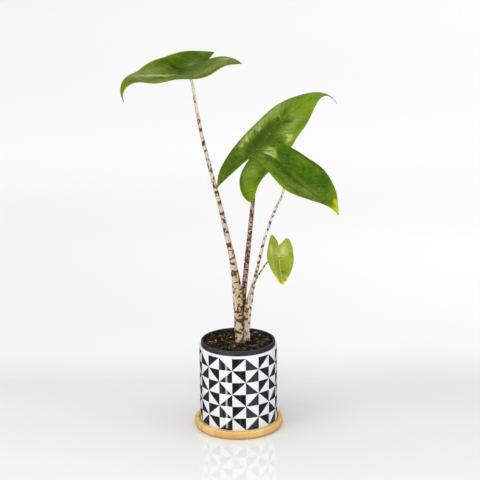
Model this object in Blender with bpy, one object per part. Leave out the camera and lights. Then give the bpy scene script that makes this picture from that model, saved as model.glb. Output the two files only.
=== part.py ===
"""Potted zebra-stemmed alocasia: a ceramic cover pot in a bamboo saucer, a
plastic growing pot hung inside it by its lip, potting mix, a buried rhizome,
four petioles and four arrow-shaped blades.

Metres, +Z up. The origin is on the pot's axis at the underside of the saucer;
-Y is the front of the object, +X its right side.
"""

import math

import bmesh
import bpy
import numpy as np
from mathutils import Vector

# ---------------------------------------------------------------- dimensions
MM = 0.001
GAP = 0.3 * MM                 # clearance kept between touching pieces

SAUCER_RADIUS = 75.0 * MM
SAUCER_HEIGHT = 14.0 * MM
SAUCER_FOOT_RADIUS = 71.0 * MM
SAUCER_RECESS_RADIUS = 67.5 * MM
SAUCER_RECESS_FLOOR = 9.5 * MM
SAUCER_SIDE_BULGE_AT = 7.5 * MM

POT_RADIUS = 65.5 * MM
POT_WALL = 4.3 * MM
POT_BASE_Z = SAUCER_RECESS_FLOOR + GAP
POT_TOP_Z = 146.8 * MM
POT_FLOOR_THICKNESS = 6.0 * MM
POT_DRAIN_RADIUS = 7.0 * MM

LINER_TOP_Z = 152.3 * MM       # top of the growing pot's lip
LINER_LIP_RADIUS = 62.6 * MM
LINER_LIP_THICKNESS = 1.1 * MM
LINER_MOUTH_RADIUS = 59.2 * MM
LINER_WALL = 1.2 * MM
LINER_BASE_RADIUS = 45.0 * MM
LINER_BASE_Z = 33.0 * MM
LINER_DRAIN_RADIUS = 4.0 * MM
LINER_DRAINS = 6
LINER_DRAIN_CIRCLE = 30.0 * MM

SOIL_EDGE_Z = 146.2 * MM       # potting mix at the wall
SOIL_CROWN = 1.2 * MM          # how much higher it lies around the stems
SOIL_BOTTOM_Z = LINER_BASE_Z + LINER_WALL + GAP

STEM_CENTRE = (7.4 * MM, 0.7 * MM)
STEM_FOOT_Z = 143.6 * MM       # where the petioles stand on the rhizome
RHIZOME_SIZE = (13.2 * MM, 10.6 * MM)
RHIZOME_LENGTH = 44.0 * MM
STEM_SOCKET_SIZE = (14.9 * MM, 12.6 * MM)

BLADE_THICKNESS = 1.0 * MM
ROUND = 48                     # segments of a large turned piece

# Stations along the front part of a blade, as fractions of its length from
# the petiole junction to the tip, where the half-widths below are given.
STATIONS = (0.88, 0.66, 0.42, 0.18, -0.06)

# The margins' two waves, in radians per blade length along the midrib, and
# the half-width at which a wave has its full height.
WAVE_TURNS = (5.0, 9.5)
WAVE_FULL_AT = 0.45

# A blade. length: junction to tip. sinus: how far behind the junction the two
# lobes part, as a fraction of length. junction, forward, upper: where the
# petiole meets it, the way the tip points there, and the side that faces up.
# left/right: five half-widths at STATIONS, the width halfway down the lobe,
# then the lobe tip's place along and across, then the lobe's inner edge
# halfway; all fractions of length. bend: midrib curvature at the junction and
# its gain towards the tip, the extra curl of the drip tip, the curvature of
# the lobes (radians per length). fold: how far each half rises from the
# midrib. droop: how each half curves back down. twist and sweep in radians
# per length. curl_from: where the drip tip's curl starts. wave: for the left
# and the right margin, cosine and sine heights of both waves. blunt: how
# round the left and the right lobe's tip is, from 0, pointed, to 1.
BLADES = {
    "tall": dict(
        length=0.1367, sinus=0.315,
        junction=(-0.0782, -0.0200, 0.6136),
        forward=(-0.782, -0.422, -0.458), upper=(-0.510, 0.012, 0.860),
        left=(0.040, 0.222, 0.385, 0.451, 0.469, 0.429, -0.556, 0.398, 0.080),
        right=(0.074, 0.242, 0.415, 0.472, 0.480, 0.440, -0.508, 0.281, 0.124),
        bend=(-1.827, 2.369, 5.185, 0.749), fold=(-0.081, 0.070),
        droop=(0.869, -1.606), twist=0.016, sweep=-0.092, curl_from=0.524,
        wave=((0.030, 0.042, -0.030, 0.000), (0.024, 0.040, -0.004, -0.005)),
        blunt=(0.2, 0.2),
    ),
    "middle": dict(
        length=0.1803, sinus=0.108,
        junction=(0.0345, 0.0750, 0.4628),
        forward=(0.677, 0.274, 0.683), upper=(-0.713, 0.016, 0.701),
        left=(0.026, 0.215, 0.405, 0.454, 0.455, 0.398, -0.452, 0.273, 0.109),
        right=(0.050, 0.237, 0.409, 0.446, 0.453, 0.389, -0.521, 0.320, 0.047),
        bend=(-0.230, 1.803, 5.369, 0.899), fold=(0.302, -0.111),
        droop=(-0.022, 1.360), twist=-0.071, sweep=-0.170, curl_from=0.696,
        wave=((-0.023, -0.005, 0.007, 0.005), (0.022, 0.007, -0.017, -0.013)),
        blunt=(0.1, 0.45),
    ),
    "right": dict(
        length=0.1290, sinus=0.105,
        junction=(0.0758, -0.0550, 0.4630),
        forward=(0.611, -0.505, -0.610), upper=(0.743, 0.099, 0.662),
        left=(0.076, 0.282, 0.438, 0.479, 0.452, 0.420, -0.312, 0.333, 0.108),
        right=(0.076, 0.274, 0.433, 0.462, 0.454, 0.406, -0.381, 0.367, 0.084),
        bend=(-0.450, 0.529, 1.687, 1.372), fold=(0.681, -0.114),
        droop=(-0.032, 1.372), twist=0.130, sweep=-0.358, curl_from=0.739,
        wave=((-0.005, 0.005, -0.001, 0.008), (0.016, 0.016, 0.005, -0.003)),
        blunt=(0.4, 0.4),
    ),
    "small": dict(
        length=0.0481, sinus=0.360,
        junction=(0.0686, -0.0220, 0.3044),
        forward=(0.054, -0.334, -0.941), upper=(0.554, -0.774, 0.306),
        left=(0.181, 0.372, 0.497, 0.560, 0.554, 0.491, -0.665, 0.298, 0.138),
        right=(0.208, 0.350, 0.483, 0.572, 0.562, 0.459, -0.695, 0.335, 0.061),
        bend=(-0.149, 0.342, 0.204, -0.232), fold=(0.257, 0.243),
        droop=(0.242, 0.259), twist=-0.158, sweep=0.300, curl_from=0.880,
        wave=((0.0, 0.0, 0.0, 0.0), (0.0, 0.0, 0.0, 0.0)),
        blunt=(0.45, 0.45),
    ),
}

# Petiole centre lines: x, y, z, half-width across, half-width in depth, in
# millimetres, from the foot upwards. The last stretch runs to the blade.
PETIOLES = {
    "tall": (
        (3.0, 0.0, 143.6, 7.3, 7.6), (2.2, -0.4, 161.0, 7.6, 7.8),
        (1.8, -0.9, 180.0, 7.9, 7.8), (1.7, -1.5, 200.0, 8.3, 7.6),
        (1.0, -2.4, 222.0, 8.9, 7.3), (-0.6, -3.2, 241.0, 8.2, 6.8),
        (-2.6, -3.9, 259.0, 6.9, 6.2), (-5.2, -4.6, 276.0, 6.4, 5.9),
        (-8.6, -5.4, 300.0, 5.5, 5.3), (-15.2, -6.6, 330.0, 4.6, 4.6),
        (-24.6, -8.4, 375.0, 4.1, 4.1), (-35.4, -10.6, 420.0, 3.6, 3.6),
        (-44.9, -12.4, 460.0, 3.2, 3.2), (-53.3, -14.0, 495.5, 2.95, 2.95),
        (-60.0, -15.8, 531.0, 2.75, 2.75), (-65.2, -17.4, 563.0, 2.5, 2.5),
        (-69.9, -18.8, 594.0, 2.3, 2.3),
    ),
    "middle": (
        (9.2, 6.6, 143.6, 4.3, 4.2), (9.3, 7.0, 186.0, 4.3, 4.2),
        (10.3, 9.6, 225.0, 4.3, 4.3), (12.4, 13.2, 250.0, 4.45, 4.4),
        (14.6, 17.2, 270.0, 4.4, 4.4), (18.2, 24.5, 301.0, 4.2, 4.2),
        (23.4, 37.0, 345.0, 3.8, 3.8), (27.6, 50.0, 384.0, 3.4, 3.4),
        (31.6, 64.0, 424.0, 3.0, 3.0), (35.8, 73.0, 449.0, 2.6, 2.6),
    ),
    "right": (
        (13.0, 0.3, 143.6, 5.9, 6.4), (14.3, -0.9, 161.0, 6.0, 6.4),
        (14.7, -2.4, 180.0, 6.0, 6.3), (15.7, -4.4, 198.0, 6.2, 6.0),
        (17.6, -6.8, 215.0, 6.1, 5.6), (20.4, -9.2, 229.0, 4.7, 4.7),
        (24.0, -11.8, 245.0, 3.5, 3.6), (28.2, -14.8, 261.0, 3.1, 3.1),
        (37.4, -21.2, 303.0, 2.6, 2.6), (46.6, -28.6, 342.0, 2.4, 2.4),
        (62.4, -39.4, 388.0, 2.15, 2.15), (74.6, -48.6, 418.0, 2.0, 2.0),
        (76.8, -53.8, 442.0, 2.0, 2.0),
    ),
    "small": (
        (17.4, -3.2, 143.6, 2.4, 3.1), (18.3, -5.2, 170.0, 2.4, 3.1),
        (19.6, -8.0, 195.0, 2.4, 2.9), (22.6, -12.2, 220.0, 2.2, 2.3),
        (25.4, -15.8, 240.0, 1.8, 1.8), (28.8, -19.6, 258.5, 1.55, 1.55),
        (32.6, -20.6, 268.0, 1.45, 1.45), (39.6, -20.0, 279.0, 1.4, 1.4),
        (49.8, -18.2, 293.2, 1.35, 1.35), (58.8, -17.5, 299.6, 1.3, 1.3),
        (65.0, -18.6, 302.6, 1.25, 1.25),
    ),
}


# ------------------------------------------------------------------ helpers
def material(name, colour, roughness, metallic=0.0):
    made = bpy.data.materials.new(name)
    made.use_nodes = True
    shader = made.node_tree.nodes["Principled BSDF"]
    shader.inputs["Base Color"].default_value = (*colour, 1.0)
    shader.inputs["Roughness"].default_value = roughness
    shader.inputs["Metallic"].default_value = metallic
    made.diffuse_color = (*colour, 1.0)
    return made


def add_object(name, bm, mat, smooth_deg=40.0):
    bmesh.ops.recalc_face_normals(bm, faces=bm.faces)
    mesh = bpy.data.meshes.new(name)
    bm.to_mesh(mesh)
    bm.free()
    obj = bpy.data.objects.new(name, mesh)
    bpy.context.scene.collection.objects.link(obj)
    mesh.shade_smooth()
    mesh.set_sharp_from_angle(angle=math.radians(smooth_deg))
    if mat is not None:
        mesh.materials.append(mat)
    return obj


def as_cutter(obj):
    obj.hide_render = True
    obj.display_type = "WIRE"
    return obj


def cut(obj, cutter):
    boolean = obj.modifiers.new("cut_" + cutter.name, "BOOLEAN")
    boolean.operation = "DIFFERENCE"
    boolean.solver = "EXACT"
    boolean.object = cutter


def turned(profile, segments=ROUND, centre=(0.0, 0.0), squash=1.0):
    """A closed section (radius, z), turned about a vertical axis. A section
    that starts and ends on the axis closes there with a point."""
    bm = bmesh.new()
    on_axis = [abs(r) < 1e-7 for r, _ in profile]
    rings = []
    for (r, z), axis in zip(profile, on_axis):
        if axis:
            rings.append([bm.verts.new((centre[0], centre[1], z))])
            continue
        ring = []
        for i in range(segments):
            a = 2 * math.pi * i / segments
            ring.append(bm.verts.new((
                centre[0] + r * math.cos(a),
                centre[1] + r * squash * math.sin(a), z,
            )))
        rings.append(ring)
    pairs = list(zip(rings[:-1], rings[1:]))
    if not (on_axis[0] and on_axis[-1]):
        pairs.append((rings[-1], rings[0]))
    for low, high in pairs:
        for i in range(segments):
            j = (i + 1) % segments
            if len(low) == 1:
                bm.faces.new((low[0], high[j], high[i]))
            elif len(high) == 1:
                bm.faces.new((low[i], low[j], high[0]))
            else:
                bm.faces.new((low[i], low[j], high[j], high[i]))
    return bm


def arc(cx, cz, radius, start_deg, end_deg, steps):
    """Points of an arc in a section, its ends included."""
    return [
        (cx + radius * math.cos(math.radians(a)),
         cz + radius * math.sin(math.radians(a)))
        for a in np.linspace(start_deg, end_deg, steps)
    ]


def spline(points, steps):
    """A smooth curve through points of any dimension (centripetal tangents),
    with steps intervals between neighbours."""
    points = [np.asarray(p, float) for p in points]
    out = []
    for i in range(len(points) - 1):
        p1, p2 = points[i], points[i + 1]
        p0 = points[i - 1] if i else 2 * p1 - p2
        p3 = points[i + 2] if i + 2 < len(points) else 2 * p2 - p1
        d1, d2, d3 = (max(np.linalg.norm(b - a), 1e-9) ** 0.5
                      for a, b in ((p0, p1), (p1, p2), (p2, p3)))
        m1 = ((p1 - p0) / d1 - (p2 - p0) / (d1 + d2) + (p2 - p1) / d2) * d2
        m2 = ((p2 - p1) / d2 - (p3 - p1) / (d2 + d3) + (p3 - p2) / d3) * d2
        for k in range(steps):
            t = k / steps
            out.append((2 * t**3 - 3 * t**2 + 1) * p1
                       + (t**3 - 2 * t**2 + t) * m1
                       + (-2 * t**3 + 3 * t**2) * p2
                       + (t**3 - t**2) * m2)
    out.append(points[-1])
    return np.array(out)


def respaced(curve, count):
    """The same plane curve with count evenly spaced points."""
    run = np.r_[0, np.cumsum(np.linalg.norm(np.diff(curve, axis=0), axis=1))]
    at = np.linspace(0, run[-1], count)
    return np.stack([np.interp(at, run, curve[:, k])
                     for k in range(curve.shape[1])], 1)


def eased(x, a, b):
    t = np.clip((x - a) / (b - a), 0, 1)
    return t * t * (3 - 2 * t)


# ------------------------------------------------------------------- blades
def blade_axes(spec):
    forward = np.array(spec["forward"], float)
    forward /= np.linalg.norm(forward)
    upper = np.array(spec["upper"], float)
    upper -= forward * (upper @ forward)
    upper /= np.linalg.norm(upper)
    return np.stack([forward, np.cross(upper, forward), upper], 1)


def blade_point(spec, s, w):
    """Flat blade coordinates (s along the midrib, w across, both in blade
    lengths) to world positions: the midrib is a bent curve, and each half is
    an arc that leaves it at its fold angle and curves down by its droop."""
    s, w = np.asarray(s, float), np.asarray(w, float)
    bend, gain, curl, lobe = spec["bend"]
    start = spec["curl_from"]
    g = np.linspace(-1.0, 1.0, 281)
    mid = len(g) // 2
    step = g[1] - g[0]
    rate = np.where(g >= 0, bend + gain * g, lobe)
    rate = rate + curl * eased(g, start, min(start + 0.12, 0.99))

    def summed(a):
        c = np.concatenate([[0], np.cumsum((a[1:] + a[:-1]) * 0.5 * step)])
        return c - c[mid]

    pitch = summed(rate)
    yaw = spec["sweep"] * g * np.abs(g)
    along = np.stack([np.cos(pitch) * np.cos(yaw),
                      np.cos(pitch) * np.sin(yaw), -np.sin(pitch)], 1)
    midrib = np.stack([summed(along[:, k]) for k in range(3)], 1)
    base = np.stack([np.interp(s, g, midrib[:, k]) for k in range(3)], -1)
    tangent = np.stack([np.interp(s, g, along[:, k]) for k in range(3)], -1)
    tangent /= np.linalg.norm(tangent, axis=-1, keepdims=True)
    turn = np.interp(s, g, yaw)
    across = np.stack([-np.sin(turn), np.cos(turn), 0 * turn], -1)
    normal = np.cross(tangent, across)
    twist = (spec["twist"] * s)[..., None]
    side = across * np.cos(twist) + normal * np.sin(twist)
    rise = -across * np.sin(twist) + normal * np.cos(twist)
    reach = np.abs(w)
    fold = np.where(w >= 0, spec["fold"][0], spec["fold"][1])
    droop = np.where(w >= 0, spec["droop"][0], spec["droop"][1])
    out = (np.sin(fold) - np.sin(fold - droop * reach)) / droop
    up = (np.cos(fold - droop * reach) - np.cos(fold)) / droop
    heights = []
    for c1, s1, c2, s2 in spec["wave"]:
        heights.append(c1 * np.cos(WAVE_TURNS[0] * s)
                       + s1 * np.sin(WAVE_TURNS[0] * s)
                       + c2 * np.cos(WAVE_TURNS[1] * s)
                       + s2 * np.sin(WAVE_TURNS[1] * s))
    up = up + (reach / WAVE_FULL_AT)**2 * np.where(w >= 0, *heights)
    local = base + side * (np.sign(w) * out)[..., None] + rise * up[..., None]
    return local @ blade_axes(spec).T * spec["length"] + np.array(spec["junction"])


def blade_normal(spec, s, w):
    """Unit normal of the upper side, taken from both halves on the midrib."""
    e = 1e-3
    total = 0
    for side in (-1, 1):
        sign = np.where(np.abs(w) < 1e-6, side, np.where(w > 0, 1, -1))
        w1, w2 = w + sign * e * 0.2, w + sign * e
        here = blade_point(spec, s, w1)
        ds = blade_point(spec, s + e, w1) - here
        dw = blade_point(spec, s, w2) - here
        n = np.cross(ds, dw) * sign[..., None]
        total = total + n / np.linalg.norm(n, axis=-1, keepdims=True)
    return total / np.linalg.norm(total, axis=-1, keepdims=True)


def half_outline(spec, half):
    """Outer edge from the tip to the lobe's tip, and the lobe's inner edge
    from the sinus to the lobe's tip, in flat blade coordinates."""
    w = spec[half]
    lobe_s, lobe_w = w[6], w[7]
    outer = ([(1.0, 0.0)] + list(zip(STATIONS, w[:5]))
             + [(-0.06 + (lobe_s + 0.06) * 0.55, w[5]), (lobe_s, lobe_w)])
    sinus = spec["sinus"]
    inner = [(-sinus, 0.0), (-sinus + (lobe_s + sinus) * 0.45, w[8]),
             (lobe_s, lobe_w)]
    # A pointed lobe has a corner at its tip; a blunt one curves round it.
    round_tip = spline(outer + inner[::-1][1:], 10)
    outer, inner = spline(outer, 10), spline(inner, 10)
    blunt = spec["blunt"][0 if half == "left" else 1]
    split = len(outer)
    outer = outer * (1 - blunt) + round_tip[:split] * blunt
    inner = inner * (1 - blunt) + round_tip[split - 1:][::-1] * blunt
    return outer, inner


def blade_rows(spec, half, front, back, across):
    """Rows of flat points from the inner line (midrib, then sinus edge) to
    the outer edge. The first row is the tip and the last the lobe's tip."""
    outer, inner = half_outline(spec, half)
    split = int(np.argmin(np.abs(outer[:, 0] + 0.6 * spec["sinus"])
                          + 10 * (outer[:, 1] < 0.1)))
    rim = np.concatenate([respaced(outer[:split + 1], front + 1)[:-1],
                          respaced(outer[split:], back + 1)])
    rib = np.stack([np.linspace(1.0, -spec["sinus"], front + 1),
                    np.zeros(front + 1)], 1)[:-1]
    spine = np.concatenate([rib, respaced(inner, back + 1)])
    t = np.linspace(0, 1, across + 1)[None, :, None]
    grid = spine[:, None] * (1 - t) + rim[:, None] * t
    if half == "right":
        grid[..., 1] *= -1
    return grid


def blade(name, spec, mat, front, back, across):
    """The blade as a thin closed solid."""
    bm = bmesh.new()
    shared = {}
    layers = {+1: {}, -1: {}}
    edge_runs = []
    for half in ("left", "right"):
        grid = blade_rows(spec, half, front, back, across)
        rows, cols = grid.shape[:2]
        pos = blade_point(spec, grid[..., 0], grid[..., 1])
        nrm = blade_normal(spec, grid[..., 0], grid[..., 1])

        def vert(i, j, layer):
            # Points on the midrib belong to both halves; the tip and the
            # lobe's tip are single points.
            if i == 0:
                key = ("tip",)
            elif j == 0 and i <= front:
                key = ("rib", i)
            elif i == rows - 1:
                key = (half, "lobe")
            else:
                key = (half, i, j)
            if key not in layers[layer]:
                p = pos[i, j] + nrm[i, j] * layer * BLADE_THICKNESS / 2
                layers[layer][key] = bm.verts.new(p)
            return layers[layer][key]

        turn = 1 if half == "left" else -1
        for i in range(rows - 1):
            for j in range(cols - 1):
                for layer in (+1, -1):
                    quad = [vert(i, j, layer), vert(i + 1, j, layer),
                            vert(i + 1, j + 1, layer), vert(i, j + 1, layer)]
                    corners = []
                    for v in quad:
                        if v not in corners:
                            corners.append(v)
                    if len(corners) < 3:
                        continue
                    if turn * layer > 0:
                        corners.reverse()
                    bm.faces.new(corners)
        run = [(vert(i, cols - 1, 1), vert(i, cols - 1, -1))
               for i in range(rows)]
        run += [(vert(i, 0, 1), vert(i, 0, -1))
                for i in range(rows - 2, front - 1, -1)]
        edge_runs.append(run)
    for run in edge_runs:
        for (a1, a2), (b1, b2) in zip(run[:-1], run[1:]):
            bm.faces.new((a1, b1, b2, a2))
    return add_object(name, bm, mat, 60.0)


# ----------------------------------------------------------------- petioles
def petiole_rings(key, steps, grow=0.0):
    """Centre, half-widths and ring plane along a petiole. The last ring lies
    parallel to the underside of its blade, a gap below it."""
    spec = BLADES[key]
    axes = blade_axes(spec)
    junction = np.array(spec["junction"])
    under = blade_normal(spec, np.array([0.0]), np.array([0.0]))[0]
    rows = [np.array(row) * MM for row in PETIOLES[key]]
    last = rows[-1].copy()
    last[:3] = junction - under * (BLADE_THICKNESS / 2 + GAP * 1.5)
    curve = spline(rows + [last], steps)
    centres, widths = curve[:, :3], curve[:, 3:] + grow
    tangents = np.gradient(centres, axis=0)
    tangents /= np.linalg.norm(tangents, axis=1, keepdims=True)
    tangents[0] = (0, 0, 1)
    tangents[-1] = under
    tangents[-2] = tangents[-2] * 0.5 + under * 0.5
    tangents /= np.linalg.norm(tangents, axis=1, keepdims=True)
    return centres, widths, tangents, axes


def petiole(name, key, mat, sides=10, steps=2, grow=0.0, overrun=0.0):
    """A tapering stalk as a closed tube; grow and overrun make the fatter,
    longer copy that its neighbours are cut with."""
    centres, widths, tangents, _ = petiole_rings(key, steps, grow)
    if overrun:
        centres[0, 2] -= overrun
    bm = bmesh.new()
    rings = []
    for c, (a, b), t in zip(centres, widths, tangents):
        u = np.array([1.0, 0, 0]) - t * t[0]
        u /= np.linalg.norm(u)
        v = np.cross(t, u)
        rings.append([
            bm.verts.new(c + a * math.cos(p) * u + b * math.sin(p) * v)
            for p in (2 * math.pi * k / sides for k in range(sides))
        ])
    for low, high in zip(rings[:-1], rings[1:]):
        for k in range(sides):
            m = (k + 1) % sides
            bm.faces.new((low[k], low[m], high[m], high[k]))
    bm.faces.new(list(reversed(rings[0])))
    bm.faces.new(rings[-1])
    return add_object(name, bm, mat)


# -------------------------------------------------------------------- build
def main():
    for obj in list(bpy.data.objects):
        bpy.data.objects.remove(obj, do_unlink=True)

    bamboo = material("bamboo", (0.72, 0.43, 0.14), 0.45)
    glaze = material("glazed_ceramic", (0.85, 0.85, 0.85), 0.15)
    plastic = material("black_plastic", (0.02, 0.02, 0.025), 0.45)
    mix = material("potting_mix", (0.035, 0.022, 0.014), 0.95)
    root = material("rhizome", (0.32, 0.20, 0.11), 0.8)
    zebra = material("zebra_stalk", (0.62, 0.52, 0.36), 0.5)
    purple = material("purple_stalk", (0.16, 0.08, 0.07), 0.5)
    green = material("leaf_green", (0.06, 0.18, 0.01), 0.35)
    lime = material("leaf_lime", (0.30, 0.42, 0.04), 0.4)

    # Saucer: rounded side, flat underside, a shallow recess for the pot.
    side = []
    for k in range(6):
        a = math.pi / 2 * k / 5
        side.append((
            SAUCER_FOOT_RADIUS
            + (SAUCER_RADIUS - SAUCER_FOOT_RADIUS) * math.sin(a),
            SAUCER_SIDE_BULGE_AT * (1 - math.cos(a)),
        ))
    top_round = 3.2 * MM
    side += [(SAUCER_RADIUS, SAUCER_HEIGHT - top_round)]
    side += arc(SAUCER_RADIUS - top_round, SAUCER_HEIGHT - top_round,
                top_round, 30, 90, 3)
    lip_in = SAUCER_RECESS_RADIUS
    side += [(lip_in + 1.0 * MM, SAUCER_HEIGHT),
             (lip_in, SAUCER_HEIGHT - 1.0 * MM),
             (lip_in, SAUCER_RECESS_FLOOR + 0.8 * MM),
             (lip_in - 0.8 * MM, SAUCER_RECESS_FLOOR)]
    add_object("saucer",
               turned([(0.0, 0.0)] + side + [(0.0, SAUCER_RECESS_FLOOR)]),
               bamboo)

    # Cover pot: straight wall, rounded rim, drain hole in the floor.
    r_in = POT_RADIUS - POT_WALL
    rim = POT_WALL / 2
    floor_z = POT_BASE_Z + POT_FLOOR_THICKNESS
    section = [(POT_DRAIN_RADIUS, POT_BASE_Z),
               (POT_RADIUS - 3.0 * MM, POT_BASE_Z)]
    section += arc(POT_RADIUS - 2.5 * MM, POT_BASE_Z + 2.5 * MM, 2.5 * MM,
                   -60, 0, 2)
    section += [(POT_RADIUS, POT_TOP_Z - 1.2 * MM)]
    section += arc(POT_RADIUS - 1.2 * MM, POT_TOP_Z - 1.2 * MM, 1.2 * MM,
                   45, 90, 2)
    section += arc(r_in + 1.0 * MM, POT_TOP_Z - 1.0 * MM, 1.0 * MM,
                   90, 180, 2)
    section += [(r_in, floor_z + 5.0 * MM), (r_in - 5.0 * MM, floor_z)]
    section += [(POT_DRAIN_RADIUS, floor_z)]
    add_object("outer_pot", turned(section), glaze)

    # Growing pot: tapering wall, its folded lip resting on the cover pot.
    mouth = LINER_MOUTH_RADIUS
    lip = LINER_LIP_RADIUS
    skirt_z = POT_TOP_Z + GAP
    section = [(0.0, LINER_BASE_Z),
               (LINER_BASE_RADIUS - 2.0 * MM, LINER_BASE_Z),
               (LINER_BASE_RADIUS, LINER_BASE_Z + 2.0 * MM),
               (mouth + LINER_WALL, skirt_z - 3.0 * MM),
               (mouth + LINER_WALL, LINER_TOP_Z - 1.6 * MM),
               (lip - LINER_LIP_THICKNESS, LINER_TOP_Z - 1.6 * MM),
               (lip - LINER_LIP_THICKNESS, skirt_z),
               (lip, skirt_z),
               (lip, LINER_TOP_Z - 1.0 * MM)]
    section += arc(lip - 1.0 * MM, LINER_TOP_Z - 1.0 * MM, 1.0 * MM, 45, 90, 2)
    section += [(mouth + 0.5 * MM, LINER_TOP_Z),
                (mouth, LINER_TOP_Z - 0.6 * MM),
                (mouth, skirt_z - 3.5 * MM),
                (LINER_BASE_RADIUS - LINER_WALL, LINER_BASE_Z + 3.0 * MM),
                (LINER_BASE_RADIUS - 3.0 * MM, LINER_BASE_Z + LINER_WALL),
                (0.0, LINER_BASE_Z + LINER_WALL)]
    liner = add_object("nursery_pot", turned(section), plastic)
    drains = bmesh.new()
    for k in range(LINER_DRAINS):
        a = 2 * math.pi * (k + 0.5) / LINER_DRAINS
        made = bmesh.ops.create_cone(
            drains, cap_ends=True, segments=10,
            radius1=LINER_DRAIN_RADIUS, radius2=LINER_DRAIN_RADIUS,
            depth=8.0 * MM)
        bmesh.ops.translate(
            drains, verts=made["verts"],
            vec=(LINER_DRAIN_CIRCLE * math.cos(a),
                 LINER_DRAIN_CIRCLE * math.sin(a), LINER_BASE_Z))
    cut(liner, as_cutter(add_object("liner_drains", drains, None)))

    # Potting mix: fills the growing pot, a little higher around the stems.
    inner_wall = mouth - GAP
    top = []
    for k in range(7):
        f = k / 6
        r = inner_wall * (1 - f)
        top.append((r, SOIL_EDGE_Z + SOIL_CROWN * float(eased(f, 0.1, 0.85))))
    top[-1] = (0.0, top[-1][1])
    section = [(0.0, SOIL_BOTTOM_Z),
               (LINER_BASE_RADIUS - 3.2 * MM, SOIL_BOTTOM_Z),
               (LINER_BASE_RADIUS - LINER_WALL - GAP,
                LINER_BASE_Z + 3.4 * MM),
               (inner_wall, skirt_z - 3.3 * MM)] + top
    bm = turned(section, 36)
    for v in bm.verts:
        if v.co.z > SOIL_EDGE_Z - 0.1 * MM and v.co.xy.length > 1e-4:
            x, y = v.co.x / MM, v.co.y / MM
            v.co.z += 0.35 * MM * (math.sin(0.19 * x + 0.7)
                                  * math.cos(0.23 * y - 0.4)
                                  + 0.6 * math.sin(0.41 * x - 0.33 * y))
    soil = add_object("soil", bm, mix, 60.0)

    # The socket that the stems and the rhizome fill.
    cx, cy = STEM_CENTRE
    a, b = RHIZOME_SIZE
    ratio = b / a
    foot = STEM_FOOT_Z - GAP

    def rhizome_section(grow, top_z):
        pts = [(0.0, foot - RHIZOME_LENGTH - grow)]
        for k in range(1, 10):
            f = k / 9
            r = a * (0.36 + 0.64 * math.sin(math.pi / 2 * min(1.0, f * 1.25)))
            r *= 1.0 + 0.05 * math.sin(f * 22.0)      # leaf-scar rings
            if k == 1:
                r *= 0.75
            pts.append((r + grow, foot - RHIZOME_LENGTH * (1 - f)
                        - grow * (1 - f)))
        return pts + [(pts[-1][0], top_z), (0.0, top_z)]

    section = rhizome_section(0.0, foot)
    del section[-2]
    add_object("rhizome", turned(section, 20, (cx, cy), ratio), root)
    section = rhizome_section(GAP * 1.5, foot - 1.0 * MM)[:-3]
    wide, deep = STEM_SOCKET_SIZE
    section += [(wide - 1.0 * MM, foot - 1.5 * MM), (wide, foot - 0.8 * MM), (wide, POT_TOP_Z + 10.0 * MM),
                (0.0, POT_TOP_Z + 10.0 * MM)]
    cut(soil, as_cutter(add_object(
        "stem_socket", turned(section, 20, (cx, cy), deep / wide), None)))

    # Petioles: the tall one is whole, and each of the others is pressed
    # against those it grew beside, as their sheaths wrap one another.
    stalk = {
        key: petiole("petiole_" + key, key, purple if key == "middle" else zebra)
        for key in ("tall", "right", "middle", "small")
    }
    fat = {
        key: as_cutter(petiole("wrap_" + key, key, None, grow=GAP,
                               overrun=2.0 * MM))
        for key in ("tall", "right", "middle")
    }
    cut(stalk["right"], fat["tall"])
    cut(stalk["middle"], fat["tall"])
    cut(stalk["middle"], fat["right"])
    cut(stalk["small"], fat["right"])

    for key, spec in BLADES.items():
        small = key == "small"
        blade("leaf_" + key, spec, lime if small else green,
              front=9 if small else 14, back=5 if small else 6,
              across=3 if small else 4)


main()
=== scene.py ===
"""Looks of the potted zebra-stemmed alocasia: fine turned pots, loose potting
mix, mottled petioles and veined blades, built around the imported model.

Metres, +Z up. The origin is on the pot's axis at the underside of the saucer;
-Y is the front of the object, +X its right side.
"""
import math

import bmesh
import bpy
import numpy as np
from mathutils import Matrix, Vector


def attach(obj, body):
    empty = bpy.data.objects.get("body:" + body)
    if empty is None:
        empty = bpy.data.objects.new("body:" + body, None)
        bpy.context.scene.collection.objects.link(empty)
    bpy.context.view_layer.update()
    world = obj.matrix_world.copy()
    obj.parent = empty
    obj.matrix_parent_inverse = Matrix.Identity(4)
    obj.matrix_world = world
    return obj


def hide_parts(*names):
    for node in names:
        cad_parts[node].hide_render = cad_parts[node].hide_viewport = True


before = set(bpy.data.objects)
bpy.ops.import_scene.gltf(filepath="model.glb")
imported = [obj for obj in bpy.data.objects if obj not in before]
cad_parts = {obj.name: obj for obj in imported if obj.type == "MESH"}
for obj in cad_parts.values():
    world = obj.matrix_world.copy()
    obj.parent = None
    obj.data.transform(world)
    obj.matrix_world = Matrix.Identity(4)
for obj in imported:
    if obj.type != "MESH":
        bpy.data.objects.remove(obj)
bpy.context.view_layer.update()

# ---------------------------------------------------------------- dimensions
MM = 0.001
GAP = 0.3 * MM

SAUCER_RADIUS = 75.0 * MM
SAUCER_HEIGHT = 14.0 * MM
SAUCER_FOOT_RADIUS = 71.0 * MM
SAUCER_RECESS_RADIUS = 67.5 * MM
SAUCER_RECESS_FLOOR = 9.5 * MM
SAUCER_SIDE_BULGE_AT = 7.5 * MM

POT_RADIUS = 65.5 * MM
POT_WALL = 4.3 * MM
POT_BASE_Z = SAUCER_RECESS_FLOOR + GAP
POT_TOP_Z = 144.4 * MM
POT_FLOOR_THICKNESS = 6.0 * MM
POT_DRAIN_RADIUS = 7.0 * MM

# The pot's triangles: columns round the wall, the angle of a column line
# measured from the front towards the right, the top line and the row height.
PATTERN_COLUMNS = 18
PATTERN_TURN = -9.34
PATTERN_TOP_Z = 140.4 * MM
PATTERN_ROW = 21.11 * MM
PATTERN_ROWS = 6

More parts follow.
